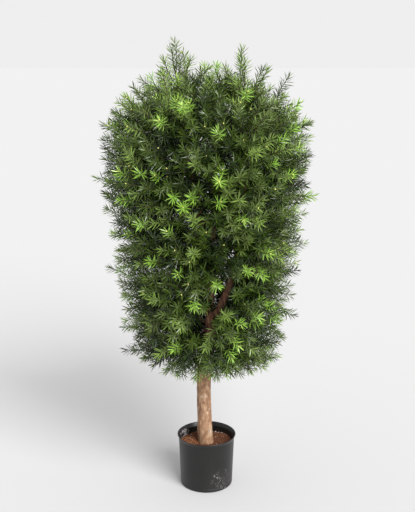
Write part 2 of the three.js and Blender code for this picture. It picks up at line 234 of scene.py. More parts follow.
def add_piece(
    name: str,
    shape: Shape,
    materials: Sequence[Material],
    nodes: Sequence[str],
    smooth: bool = True,
) -> None:
    """Makes a mesh object of a shape, in metres, and puts it in the place of solids.

    Args:
        name: the piece's name.
        shape: its points and faces, in millimetres.
        materials: one for each finish that the shape's faces name.
        nodes: the solids that it stands for.
        smooth: whether its faces shade into each other.
    """
    totals = np.concatenate([np.full(len(f), f.shape[1], dtype=np.int32) for f in shape.faces])
    starts = np.concatenate([[0], np.cumsum(totals)[:-1]]).astype(np.int32)
    corners = np.concatenate([f.ravel() for f in shape.faces]).astype(np.int32)
    mesh = bpy.data.meshes.new(name)
    mesh.vertices.add(len(shape.points))
    mesh.loops.add(len(corners))
    mesh.polygons.add(len(totals))
    mesh.vertices.foreach_set("co", (shape.points * MM).astype(np.float32).ravel())
    mesh.loops.foreach_set("vertex_index", corners)
    mesh.polygons.foreach_set("loop_start", starts)
    mesh.polygons.foreach_set("loop_total", totals)
    for material in materials:
        mesh.materials.append(material)
    mesh.polygons.foreach_set("material_index", np.concatenate(shape.finishes).astype(np.int32))
    mesh.polygons.foreach_set("use_smooth", np.full(len(totals), smooth))
    mesh.update(calc_edges=True)
    mesh.validate()
    piece = new_object(name, mesh)
    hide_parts(*nodes)
    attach(piece, ROOT_BODY)
    log.info("%s: %d triangles, for %s", name, np.sum(totals - 2), ", ".join(nodes))


def grid_faces(rows: int, columns: int) -> Array:
    """The quads of a grid that closes on itself across its columns.

    Point (r, c) has the index r * columns + c, and quad (r, c) runs from there to the next
    column and up to the next row.

    Args:
        rows: number of rows of points.
        columns: number of points in a row.

    Returns:
        The quads' corners.
    """
    r, c = np.meshgrid(np.arange(rows - 1), np.arange(columns), indexing="ij")
    here, right = r * columns + c, r * columns + (c + 1) % columns
    return np.stack([here, right, right + columns, here + columns], axis=-1).reshape(-1, 4)


def closed_grid(points: Array) -> Shape:
    """A round grid of points with its first and last rows closed.

    Each end gets one point more, at the mean of its row, and a fan of triangles to it.

    Args:
        points: rows of points, each row once round the axis, turning left seen from the end.

    Returns:
        The closed surface.
    """
    rows, columns = points.shape[:2]
    flat = points.reshape(-1, 3)
    ends = np.stack([points[0].mean(axis=0), points[-1].mean(axis=0)])
    here = np.arange(columns)
    after = (here + 1) % columns
    last = (rows - 1) * columns
    first_fan = np.stack([after, here, np.full(columns, len(flat))], axis=-1)
    last_fan = np.stack([last + here, last + after, np.full(columns, len(flat) + 1)], axis=-1)
    fans = np.concatenate([first_fan, last_fan])
    return Shape(np.concatenate([flat, ends]), [grid_faces(rows, columns), fans])


def octahedra(corners: Array, kinds: Array) -> Shape:
    """Small lumps of eight faces.

    Args:
        corners: for each lump its four corners around, its top and its bottom.
        kinds: each lump's finish.

    Returns:
        The lumps as one shape.
    """
    side = np.arange(4)
    after = (side + 1) % 4
    upper = np.stack([side, after, np.full(4, 4)], axis=1)
    lower = np.stack([after, side, np.full(4, 5)], axis=1)
    faces = np.concatenate([upper, lower])[None] + 6 * np.arange(len(corners))[:, None, None]
    return Shape(corners.reshape(-1, 3), [faces.reshape(-1, 3)], [np.repeat(kinds, 8)])


# Curves


@dataclass
class BendCurve:
    """A curve through points, spaced evenly in its parameter from 0 to 1.

    Between two points it is the cubic whose slopes come from the points on either side,
    weighted by the roots of their distances (a centripetal Catmull-Rom curve).
    """

    points: Array

    def point(self, t: Array | float) -> Array:
        """The places at an array of parameters.

        Args:
            t: the parameters, from 0 to 1.

        Returns:
            A place for each.
        """
        t = np.atleast_1d(np.asarray(t, dtype=float))
        count = len(self.points)
        first = 2 * self.points[0] - self.points[1]
        last = 2 * self.points[-1] - self.points[-2]
        row = np.vstack([first, self.points, last])
        i = np.minimum((t * (count - 1)).astype(int), count - 2)
        u = (t * (count - 1) - i)[:, None]
        p0, p1, p2, p3 = (row[i + k] for k in range(4))
        d0, d1, d2 = (
            np.sqrt(np.linalg.norm(b - a, axis=1, keepdims=True))
            for a, b in ((p0, p1), (p1, p2), (p2, p3))
        )
        slope1 = ((p1 - p0) / d0 - (p2 - p0) / (d0 + d1) + (p2 - p1) / d1) * d1
        slope2 = ((p2 - p1) / d1 - (p3 - p1) / (d1 + d2) + (p3 - p2) / d2) * d1
        square = -3 * p1 + 3 * p2 - 2 * slope1 - slope2
        cube = 2 * p1 - 2 * p2 + slope1 + slope2
        return p1 + slope1 * u + square * u**2 + cube * u**3

    def tangent(self, t: Array) -> Array:
        """Returns the unit directions at an array of parameters, from points just off them."""
        step = 1e-4
        return unit(self.point(np.minimum(t + step, 1)) - self.point(np.maximum(t - step, 0)))


@dataclass
class Arcs:
    """Many quadratic curves: (1 - t)^2 start + 2 t (1 - t) bend + t^2 end, one in each row."""

    start: Array
    bend: Array
    end: Array

    def __len__(self) -> int:
        """Returns the number of curves."""
        return len(self.start)

    @staticmethod
    def gathered(groups: Sequence["Arcs"]) -> "Arcs":
        """Returns the curves of several groups as one group."""
        parts = zip(*((arcs.start, arcs.bend, arcs.end) for arcs in groups))
        return Arcs(*(np.concatenate(part) for part in parts))

    def picked(self, rows: Array) -> "Arcs":
        """Returns the curves of some rows, which may repeat."""
        return Arcs(self.start[rows], self.bend[rows], self.end[rows])

    def point(self, t: Array) -> Array:
        """Returns one place on each curve, at a parameter each, kept as a column."""
        return (1 - t) ** 2 * self.start + 2 * t * (1 - t) * self.bend + t**2 * self.end

    def tangent(self, t: Array) -> Array:
        """Returns the unit direction of each curve at a parameter each, kept as a column."""
        return unit((1 - t) * (self.bend - self.start) + t * (self.end - self.bend))

    def length(self) -> Array:
        """About how long each curve is.

        Returns:
            The mean of its chord and its two legs.
        """
        legs = np.linalg.norm(self.bend - self.start, axis=1)
        legs = legs + np.linalg.norm(self.end - self.bend, axis=1)
        return (legs + np.linalg.norm(self.end - self.start, axis=1)) / 2

    def plane(self) -> Array:
        """The plane that each curve lies in.

        Returns:
            Its unit normal, or any that is square to the curve where it is straight.
        """
        normal = np.cross(self.bend - self.start, self.end - self.start)
        flat = np.linalg.norm(normal, axis=1, keepdims=True) < 1e-3
        return unit(np.where(flat, across(self.end - self.start), normal))


def tubes(arcs: Arcs, thick: Array | float, thin: float, rings: int, sides: int) -> Shape:
    """Tapering tubes along curves, closed at both ends.

    Ring j of a tube stands square to its curve at t = j / (rings - 1). Its corner k is at
    the angle 2 pi k / sides in the plane of the curve's normal and its product with the
    curve's direction, at a radius that goes from thick to thin.

    Args:
        arcs: the curves.
        thick: each tube's radius at its start, or one for all.
        thin: the tubes' radius at their ends.
        rings: number of rings on a tube.
        sides: number of corners on a ring.

    Returns:
        All the tubes as one shape.
    """
    rows = np.repeat(np.arange(len(arcs)), rings)
    part = np.tile(np.linspace(0, 1, rings), len(arcs))[:, None]
    repeated = arcs.picked(rows)
    up = arcs.plane()[rows]
    side = np.cross(up, repeated.tangent(part))
    foot_radius = np.broadcast_to(thick, len(arcs))[rows]
    radius = blend(foot_radius, thin, part[:, 0])[:, None, None]
    angle = turns(sides)[None, :, None]
    around = np.cos(angle) * up[:, None] - np.sin(angle) * side[:, None]
    points = repeated.point(part)[:, None] + radius * around
    starts = (np.arange(len(arcs)) * rings * sides)[:, None, None]
    quads = (starts + grid_faces(rings, sides)[None]).reshape(-1, 4)
    ring = np.arange(sides)[None]
    first = starts[:, 0] + ring[:, ::-1]
    last = starts[:, 0] + (rings - 1) * sides + ring
    return Shape(points.reshape(-1, 3), [quads, np.concatenate([first, last])])


# Shader nodes


class Sketch:
    """Adds and joins the nodes of one shader tree."""

    def __init__(self, tree: bpy.types.NodeTree) -> None:
        """Takes the tree to draw in."""
        self.tree = tree

    def feed(self, socket: Socket, value: object) -> None:
        """Links or sets one input.

        Args:
            socket: the input.
            value: another node's output, a number, a vector or a plain colour.
        """
        if isinstance(value, Socket):
            self.tree.links.new(value, socket)
        else:
            socket.default_value = (*value, 1) if socket.type == "RGBA" else value

    def fill(self, node: bpy.types.Node, **inputs: object) -> bpy.types.Node:
        """Feeds a node's inputs.

        Args:
            node: the node.
            inputs: what feeds them, by name with underscores for spaces.

        Returns:
            The same node.
        """
        for key, value in inputs.items():
            self.feed(node.inputs[key.replace("_", " ")], value)
        return node

    def node(
        self, kind: str, settings: dict[str, object] | None = None, **inputs: object
    ) -> bpy.types.Node:
        """Adds a node.

        Args:
            kind: its type's name in Blender.
            settings: its own properties.
            inputs: what feeds its inputs, by name with underscores for spaces.

        Returns:
            The node.
        """
        made = self.tree.nodes.new(kind)
        for key, value in (settings or {}).items():
            setattr(made, key, value)
        return self.fill(made, **inputs)

    def group(self, tree: bpy.types.NodeTree, **inputs: object) -> bpy.types.Node:
        """Places a node group with what feeds its inputs, and returns its node."""
        return self.node("ShaderNodeGroup", {"node_tree": tree}, **inputs)

    def noise(self, **inputs: object) -> Socket:
        """Returns the value of a noise texture."""
        return self.node("ShaderNodeTexNoise", **inputs).outputs[0]

    def calc(self, operation: str, *values: object) -> Socket:
        """Adds a Math node.

        Args:
            operation: what it does.
            values: its numbers or sockets.

        Returns:
            Its output.
        """
        made = self.node("ShaderNodeMath", {"operation": operation})
        for socket, value in zip(made.inputs, values):
            self.feed(socket, value)
        return made.outputs[0]

    def mix(self, part: Socket, low: object, high: object) -> Socket:
        """Blends two colours.

        Args:
            part: how much of the second there is.
            low: the first, a socket or a plain colour.
            high: the second.

        Returns:
            The colour between them.
        """
        made = self.node("ShaderNodeMix", {"data_type": "RGBA"})
        for index, value in ((0, part), (6, low), (7, high)):
            self.feed(made.inputs[index], value)
        return made.outputs[2]

    def ramp(self, value: Socket, low: object, high: object, top: float = 1.0) -> Socket:
        """Returns 0 below low, top above high, and a smooth rise between."""
        return self.node(
            "ShaderNodeMapRange", {"interpolation_type": "SMOOTHSTEP"},
            Value=value, From_Min=low, From_Max=high, To_Max=top,
        ).outputs[0]

    def place(self, stretch: Place = (1, 1, 1), turn: Place = (0, 0, 0)) -> Socket:
        """Object coordinates, turned and then scaled.

        Args:
            stretch: the scale along each axis.
            turn: the turn about each axis, in degrees.

        Returns:
            The coordinates.
        """
        angles = [math.radians(angle) for angle in turn]
        place = self.node("ShaderNodeTexCoord").outputs["Object"]
        turned = self.node("ShaderNodeMapping", Vector=place, Rotation=angles).outputs[0]
        return self.node("ShaderNodeMapping", Vector=turned, Scale=stretch).outputs[0]


class GroupSketch(Sketch):
    """Draws in a shader node group of its own."""

    KINDS = {type(None): "NodeSocketVector", float: "NodeSocketFloat", tuple: "NodeSocketColor"}

    def __init__(self, name: str, inputs: dict[str, object], outputs: dict[str, type]) -> None:
        """Starts the group.

        Args:
            name: the group's name.
            inputs: each input's value at the start: a number, a colour, or None for a place.
            outputs: what each output is: a number (float) or a colour (tuple).
        """
        super().__init__(bpy.data.node_groups.new(name, "ShaderNodeTree"))
        add = self.tree.interface.new_socket
        for key, value in inputs.items():
            socket = add(key, in_out="INPUT", socket_type=self.KINDS[type(value)])
            if value is not None:
                socket.default_value = value
        for key, kind in outputs.items():
            add(key, in_out="OUTPUT", socket_type=self.KINDS[kind])
        self.given = self.node("NodeGroupInput").outputs
        self.wanted = self.node("NodeGroupOutput")


class FinishSketch(Sketch):
    """Draws a material round its Principled shader."""

    def __init__(self, name: str) -> None:
        """Starts the material.

        Args:
            name: its name.
        """
        self.material = bpy.data.materials.new(name)
        self.material.use_nodes = True
        super().__init__(self.material.node_tree)
        self.tree.nodes.clear()
        self.shader = self.node("ShaderNodeBsdfPrincipled")
        self.node("ShaderNodeOutputMaterial", Surface=self.shader.outputs[0])

    def dress(self, **inputs: object) -> Material:
        """Feeds the shader's inputs by name, and returns the material."""
        self.fill(self.shader, **inputs)
        return self.material


class Effects:
    """The shader node groups that several finishes share."""

    def __init__(self) -> None:
        """Builds each group once."""
        self.mottle = self.make_mottle()
        self.grain = self.make_grain()
        self.scuff = self.make_scuff()

    def make_mottle(self) -> bpy.types.NodeTree:
        """Three colours in soft blotches: noise below, about and above its middle.

        Returns:
            The node group.
        """
        greys = {"Dark": 0.1, "Middle": 0.3, "Light": 0.6}
        inputs = {"Place": None, "Scale": 40.0}
        inputs |= {name: (grey, grey, grey, 1) for name, grey in greys.items()}
        group = GroupSketch("mottled colour", inputs, {"Color": tuple, "Mask": float})
        given = group.given
        noise = group.noise(Vector=given["Place"], Scale=given["Scale"], Detail=5.0)
        lower = group.mix(group.ramp(noise, 0.34, 0.52), given["Dark"], given["Middle"])
        colour = group.mix(group.ramp(noise, 0.5, 0.7), lower, given["Light"])
        group.fill(group.wanted, Color=colour, Mask=noise)
        return group.tree

    def make_grain(self) -> bpy.types.NodeTree:
        """A fine height: noise with a finer noise over it, each weighted by an amount.

        Returns:
            The node group.
        """
        inputs = {"Place": None, "Scale": 120.0, "Fineness": 4.0, "Fine Amount": 0.4}
        group = GroupSketch("surface grain", inputs, {"Height": float})
        given = group.given
        broad = group.noise(Vector=given["Place"], Scale=given["Scale"], Detail=3.0)
        finer = group.calc("MULTIPLY", given["Scale"], given["Fineness"])
        fine = group.noise(Vector=given["Place"], Scale=finer, Detail=2.0)
        height = group.calc("MULTIPLY_ADD", fine, given["Fine Amount"], broad)
        group.fill(group.wanted, Height=height)
        return group.tree

    def make_scuff(self) -> bpy.types.NodeTree:
        """Rubbed marks near one place: noise streaks in a patch with an uneven edge.

        Returns:
            The node group.
        """
        places = {"Place": None, "Pattern": None, "Centre": None}
        inputs = {**places, "Reach": 0.02, "Scale": 150.0, "Cover": 0.5}
        group = GroupSketch("rubbed marks", inputs, {"Mask": float})
        given = group.given
        away = group.node("ShaderNodeVectorMath", {"operation": "DISTANCE"})
        group.feed(away.inputs[0], given["Place"])
        group.feed(away.inputs[1], given["Centre"])
        uneven = group.noise(Vector=given["Place"], Scale=75.0, Detail=2.0)
        near = group.calc("DIVIDE", away.outputs["Value"], given["Reach"])
        near = group.calc("MULTIPLY_ADD", group.calc("SUBTRACT", uneven, 0.5), 2.4, near)
        fade = group.calc("SUBTRACT", 1.0, group.ramp(near, 0.35, 1.0))
        noise = group.noise(
            Vector=given["Pattern"], Scale=given["Scale"], Detail=5.0, Roughness=0.65
        )
        level = group.calc("SUBTRACT", 1.0, given["Cover"])
        streak = group.ramp(noise, level, group.calc("ADD", level, 0.12))
        group.fill(group.wanted, Mask=group.calc("MULTIPLY", fade, streak))
        return group.tree


# Finishes


@dataclass(frozen=True)
class PlainFinish:
    """A finish of one colour, the same all over."""

    name: str
    colour: Colour
    roughness: float = 0.26
    shine: float = 0.45

    def material(self) -> Material:
        """Builds the finish, with its values on the shader's own sockets.

        Returns:
            The new material.
        """
        sketch = FinishSketch(self.name)
        sketch.material.diffuse_color = (*self.colour, 1)
        return sketch.dress(
            Base_Color=self.colour, Roughness=self.roughness, Specular_IOR_Level=self.shine
        )


class Palette(Enum):
    """Plain finishes that share a mesh, in the order of their numbers on it."""

    @property
    def number(self) -> int:
        """Returns the number that the mesh's faces have for this finish."""
        return list(type(self)).index(self)

    @classmethod
    @cache
    def materials(cls) -> list[Material]:
        """Builds all the finishes, in order, when they are first asked for."""
        return [finish.value.material() for finish in cls]


class Green(Palette):
    """The greens of the needles, from the crown's inside to its young tips."""

    SHADED = PlainFinish("shaded green", (0.006, 0.014, 0.002))
    DEEP = PlainFinish("deep green", (0.021, 0.042, 0.004))
    LEAF = PlainFinish("leaf green", (0.053, 0.089, 0.010))
    OLIVE = PlainFinish("olive green", (0.110, 0.160, 0.036))
    FRESH = PlainFinish("fresh green", (0.164, 0.254, 0.046))
    LIME = PlainFinish("lime green", (0.225, 0.41, 0.05))
    YELLOW = PlainFinish("yellow green", (0.36, 0.52, 0.11))


class Bark(Palette):
    """The plain colours of stems, twigs and shoots."""

    STEM = PlainFinish("stem brown", (0.095, 0.048, 0.030), 0.8, 0.3)
    TWIG = PlainFinish("twig brown", (0.060, 0.040, 0.024), 0.7, 0.3)
    SHOOT = PlainFinish("shoot green", (0.070, 0.085, 0.030), 0.55, 0.4)


class Crumb(Palette):
    """The plain colours of the filling's crumbs."""

    DARK = PlainFinish("dark crumbs", (0.060, 0.024, 0.013), 0.95, 0.15)
    BROWN = PlainFinish("brown crumbs", (0.108, 0.042, 0.021), 0.95, 0.15)
    ORANGE = PlainFinish("orange crumbs", (0.185, 0.072, 0.030), 0.95, 0.15)
    # The heap's orange brown, made lighter as painted light on the heap.
    RUST = PlainFinish("lit rust crumbs", (0.290, 0.118, 0.048), 0.95, 0.15)
    CHALK = PlainFinish("chalk specks", (0.62, 0.58, 0.52), 0.95, 0.2)


@dataclass(frozen=True)
class GrainBump:
    """A relief that is too fine for the mesh, from the shared grain."""

    scale: float
    fineness: float
    strength: float
    depth: float  # in metres

    def normal(self, sketch: Sketch, effects: Effects, place: Socket) -> Socket:
        """Returns the bumped normal, with its grain on the given coordinates."""
        grain = sketch.group(effects.grain, Place=place, Scale=self.scale, Fineness=self.fineness)
        return sketch.node(
            "ShaderNodeBump", Height=grain.outputs[0], Strength=self.strength, Distance=self.depth
        ).outputs[0]


@dataclass(frozen=True)
class RubbedMark:
    """A patch of rubbed streaks round a place on a surface, in metres."""

    centre: Place
    reach: float
    scale: float
    cover: float

    def mask(self, sketch: Sketch, effects: Effects, place: Socket, pattern: Socket) -> Socket:
        """Returns how strongly the mark shows, with its streaks on the pattern's coordinates."""
        return sketch.group(
            effects.scuff, Place=place, Pattern=pattern, Centre=self.centre, Reach=self.reach,
            Scale=self.scale, Cover=self.cover,
        ).outputs[0]


@dataclass(frozen=True)
class PotPlastic:
    """Black moulded plastic: a fine satin grain, a dusty bloom, rubbed scratches outside and a
    lighter streaky patch inside.
    """

    colour: Colour = (0.0060, 0.0060, 0.0054)
    bloom: Colour = (0.0110, 0.0106, 0.0098)
    bloom_scale: float = 9.0
    rubbed: Colour = (0.33, 0.30, 0.30)
    rubbed_share: float = 0.9
    roughness: float = 0.36
    bloom_roughness: float = 0.1  # that the bloom adds
    rubbed_roughness: float = 0.3  # that the marks add
    shine: float = 0.4
    # A lighter streaky patch on the inside of the wall, on the left.
    inner_mark: RubbedMark = RubbedMark((-0.0706, 0.0417, 0.140), 0.030, 130.0, 0.53)
    mid_wall: float = 0.081  # the radius that parts the wall's inside from its outside there
    mid_wall_blur: float = 0.0003
    outer_mark: RubbedMark = RubbedMark((0.043, -0.066, 0.027), 0.040, 300.0, 0.43)
    outer_slants: tuple[float, ...] = (32, -58)  # of the scratches, in degrees
    scratch_stretch: Place = (0.16, 1, 1)
    grain: GrainBump = GrainBump(260.0, 4.0, 0.12, 0.0006)

    def material(self, effects: Effects) -> Material:
        """Builds the finish from the shared effects.

        Args:
            effects: the shared node groups.

        Returns:
            The new material.
        """
        sketch = FinishSketch("black plastic")
        place = sketch.place()
        noise = sketch.noise(Vector=place, Scale=self.bloom_scale, Detail=4.0)
        bloom = sketch.ramp(noise, 0.35, 0.75)
        away = sketch.node(
            "ShaderNodeVectorMath", {"operation": "LENGTH"}, Vector=sketch.place((1, 1, 0))
        ).outputs["Value"]
        blur = self.mid_wall_blur
        inside = sketch.ramp(away, self.mid_wall + blur, self.mid_wall - blur)
        inner = self.inner_mark.mask(sketch, effects, place, place)
        rubbed = sketch.calc("MULTIPLY", inner, inside)
        for slant in self.outer_slants:
            pattern = sketch.place(self.scratch_stretch, (0, slant, 0))
            scratches = self.outer_mark.mask(sketch, effects, place, pattern)
            rubbed = sketch.calc("MAXIMUM", rubbed, scratches)
        dusty = sketch.mix(bloom, self.colour, self.bloom)
        shown = sketch.calc("MULTIPLY", rubbed, self.rubbed_share)
        rough = sketch.calc("MULTIPLY_ADD", bloom, self.bloom_roughness, self.roughness)
        return sketch.dress(
            Base_Color=sketch.mix(shown, dusty, self.rubbed),
            Roughness=sketch.calc("MULTIPLY_ADD", rubbed, self.rubbed_roughness, rough),
            Specular_IOR_Level=self.shine,
            Normal=self.grain.normal(sketch, effects, place),
        )


@dataclass(frozen=True)
class MottledFinish:
    """A natural surface: three colours in soft blotches, and a fine grain."""

    name: str
    dark: Colour
    middle: Colour
    light: Colour
    blotches: float  # the scale of their noise
    roughness: float
    grain: GrainBump
    stretch: Place = (1, 1, 1)  # of the blotches' coordinates
    grain_stretch: Place = (1, 1, 1)
    uneven: float = 0.0  # how much of the blotches' noise the roughness adds
    shine: float = 0.3

    def marked(self, sketch: Sketch, effects: Effects, colour: Socket) -> Socket:
        """Returns the colour with marks of the finish's own, which this one has none of."""
        return colour

    def material(self, effects: Effects) -> Material:
        """Builds the finish from the shared effects.

        Args:
            effects: the shared node groups.

        Returns:
            The new material.
        """
        sketch = FinishSketch(self.name)
        mottle = sketch.group(
            effects.mottle, Place=sketch.place(self.stretch), Scale=self.blotches,
            Dark=self.dark, Middle=self.middle, Light=self.light,
        )
        rough = self.roughness
        if self.uneven:
            rough = sketch.calc("MULTIPLY_ADD", mottle.outputs["Mask"], self.uneven, rough)
        return sketch.dress(
            Base_Color=self.marked(sketch, effects, mottle.outputs["Color"]),
            Roughness=rough,
            Specular_IOR_Level=self.shine,
            Normal=self.grain.normal(sketch, effects, sketch.place(self.grain_stretch)),
        )


@dataclass(frozen=True)
class PaleWood(MottledFinish):
    """Bare wood of the trunk: tan blotches drawn out upwards, pale patches, dark marks."""

    name: str = "pale wood"
    dark: Colour = (0.182, 0.101, 0.056)
    middle: Colour = (0.290, 0.170, 0.098)
    light: Colour = (0.430, 0.296, 0.188)
    blotches: float = 105.0
    roughness: float = 0.6
    grain: GrainBump = GrainBump(300.0, 3.0, 0.35, 0.0012)
    stretch: Place = (1, 1, 0.6)
    grain_stretch: Place = (1, 1, 0.12)
    uneven: float = 0.25
    cream: Colour = (0.56, 0.48, 0.38)
    stain: Colour = (0.13, 0.060, 0.034)
    rust: Colour = (0.27, 0.105, 0.045)
    red: Colour = (0.400, 0.190, 0.120)
    reddens_from: float = 0.375
    reddens_to: float = 0.44
    fibre_stretch: Place = (1, 1, 0.06)
    fibre_share: float = 0.12
    speck_share: float = 0.5
    patches: tuple[RubbedMark, ...] = (
        RubbedMark((-0.0105, -0.021, 0.281), 0.017, 170.0, 0.5),
        RubbedMark((0.009, -0.021, 0.232), 0.017, 170.0, 0.5),
    )
    patch_share: float = 0.7
    pale_streak: RubbedMark = RubbedMark((0.014, -0.018, 0.165), 0.009, 170.0, 0.56)
    dark_mark: RubbedMark = RubbedMark((-0.018, -0.015, 0.236), 0.009, 170.0, 0.56)
    streak_share: float = 0.8
    streak_squash: float = 0.3  # of heights, which draws the streak and the mark out upwards

    def marked(self, sketch: Sketch, effects: Effects, colour: Socket) -> Socket:
        """Adds fibres, specks, pale patches and streaks, and reddens the top.

        Args:
            sketch: the material's sketch.
            effects: the shared node groups.
            colour: the mottled colour.

        Returns:
            The colour with its marks.
        """
        plain = sketch.place()
        fibres = sketch.noise(Vector=sketch.place(self.fibre_stretch), Scale=420.0, Detail=2.0)
        shade = sketch.ramp(fibres, 0.62, 0.42, self.fibre_share)
        colour = sketch.mix(shade, colour, self.stain)
        specks = sketch.noise(Vector=plain, Scale=330.0, Detail=3.0, Roughness=0.6)
        colour = sketch.mix(sketch.ramp(specks, 0.50, 0.62, self.speck_share), colour, self.rust)
        for mark in self.patches:
            patch = mark.mask(sketch, effects, plain, plain)
            share = sketch.calc("MULTIPLY", patch, self.patch_share)
            colour = sketch.mix(share, colour, self.cream)
        flat = sketch.place((1, 1, self.streak_squash))
        for mark, tone in ((self.pale_streak, self.cream), (self.dark_mark, self.stain)):
            x, y, z = mark.centre
            lower = replace(mark, centre=(x, y, z * self.streak_squash))
            streak = lower.mask(sketch, effects, flat, flat)
            share = sketch.calc("MULTIPLY", streak, self.streak_share)
            colour = sketch.mix(share, colour, tone)
        height = sketch.node("ShaderNodeSeparateXYZ", Vector=plain).outputs["Z"]
        return sketch.mix(sketch.ramp(height, self.reddens_from, self.reddens_to), colour, self.red)


@dataclass(frozen=True)
class RedBark(MottledFinish):
    """Reddish brown bark of the boughs, darker in its cracks."""

    name: str = "red bark"
    dark: Colour = (0.160, 0.070, 0.045)
    middle: Colour = (0.400, 0.190, 0.120)
    light: Colour = (0.540, 0.330, 0.220)
    blotches: float = 110.0
    roughness: float = 0.68
    grain: GrainBump = GrainBump(380.0, 3.0, 0.5, 0.0015)
    stretch: Place = (1, 1, 0.25)
    grain_stretch: Place = (1, 1, 0.25)
    uneven: float = 0.2


@dataclass(frozen=True)
class FillingBed(MottledFinish):
    """The fine brown stuff between the crumbs."""

    name: str = "brown bed"
    dark: Colour = (0.052, 0.022, 0.013)
    middle: Colour = (0.108, 0.043, 0.022)
    light: Colour = (0.180, 0.074, 0.036)
    blotches: float = 170.0
    roughness: float = 0.95
    grain: GrainBump = GrainBump(500.0, 2.5, 0.6, 0.0015)
    shine: float = 0.2


# Pot and filling


@dataclass
class Pot:
    """A tapered round pot with a lip that flares a little, filled to below its rim."""

    height: float
    rim_radius: float
    foot_radius: float = 77
    body_radius: float = 82.6  # under the lip
    lip_height: float = 10
    wall: float = 2.4
    floor: float = 3
    corner: float = 5
    foot_line: float = 11  # height of the fine line that the mould left round the foot
    line_depth: float = 0.6
    line_width: float = 0.8
    inner_step: float = 0.5  # the wall's step inside, below the lip
    around: int = 192

    def wall_radius(self, z: Array | float) -> Array | float:
        """Returns the outer radius of the straight wall at a height."""
        part = z / (self.height - self.lip_height)
        return self.foot_radius + (self.body_radius - self.foot_radius) * part

    def lip(self, part: Array, inset: float) -> Array:
        """The lip's profile, which flares as the 1.2th power of the part.

        Args:
            part: parts of the lip's height.
            inset: how far inside the outer face.

        Returns:
            Rows of radius and height.
        """
        radius = self.body_radius - inset + (self.rim_radius - self.body_radius) * part**1.2
        height = self.height - self.lip_height + part * (self.lip_height - self.wall / 2)
        return np.column_stack([radius, height])

    def outer_profile(self) -> Array:
        """The outside from the foot's edge to the rim.

        The foot is a quarter round of the corner's radius that leans with the wall. Above
        it the wall is straight, but for the mould's line: a dip of line_depth times
        exp(-((z - foot_line) / line_width)^2). The lip follows.

        Returns:
            Rows of radius and height.
        """
        turn = np.linspace(0, math.pi / 2, 9)
        foot = self.foot_radius - self.corner * (1 - np.sin(turn))
        foot += (self.wall_radius(self.corner) - self.foot_radius) * np.sin(turn)
        low = np.linspace(self.corner + 1, self.foot_line + 3, 22)
        high = np.linspace(self.foot_line + 6, self.height - self.lip_height, 30)
        z = np.concatenate([low, high])
        dip = self.line_depth * np.exp(-(((z - self.foot_line) / self.line_width) ** 2))
        rows = [
            np.column_stack([foot, self.corner * (1 - np.cos(turn))]),
            np.column_stack([self.wall_radius(z) - dip, z]),
            self.lip(np.linspace(0.1, 1, 10), 0),
        ]
        return np.concatenate(rows)

    def inner_profile(self) -> Array:
        """The rim's round edge and the inside down to the floor.

        The rim is half a circle as wide as the wall. Inside, the wall follows the outside
        one wall's thickness in, and a step of inner_step marks where the lip begins.

        Returns:
            Rows of radius and height.
        """
        turn = np.linspace(0, math.pi, 9)[1:]
        half = self.wall / 2
        rim_r = self.rim_radius - half + half * np.cos(turn)
        start = self.height - self.lip_height
        z = np.concatenate([[start - 0.6], np.linspace(start - 1.4, self.floor, 16)])
        rows = [
            np.column_stack([rim_r, self.height - half + half * np.sin(turn)]),
            self.lip(np.linspace(0.9, 0, 8), self.wall),
            np.column_stack([self.wall_radius(z) - self.wall - self.inner_step, z]),
        ]
        return np.concatenate(rows)

    def shape(self) -> Shape:
        """The pot: its profile turned round the axis.

        Returns:
            The surface, closed under the foot and inside.
        """
        profile = np.concatenate([self.outer_profile(), self.inner_profile()])
        points = profile[:, :1, None] * level_ring(turns(self.around))[None]
        points[..., 2] = profile[:, 1:]
        return closed_grid(points)

    def build(self, effects: Effects) -> None:
        """Makes the pot and its finish."""
        finish = PotPlastic().material(effects)
        add_piece("plastic_pot", self.shape(), [finish], ["pot"])


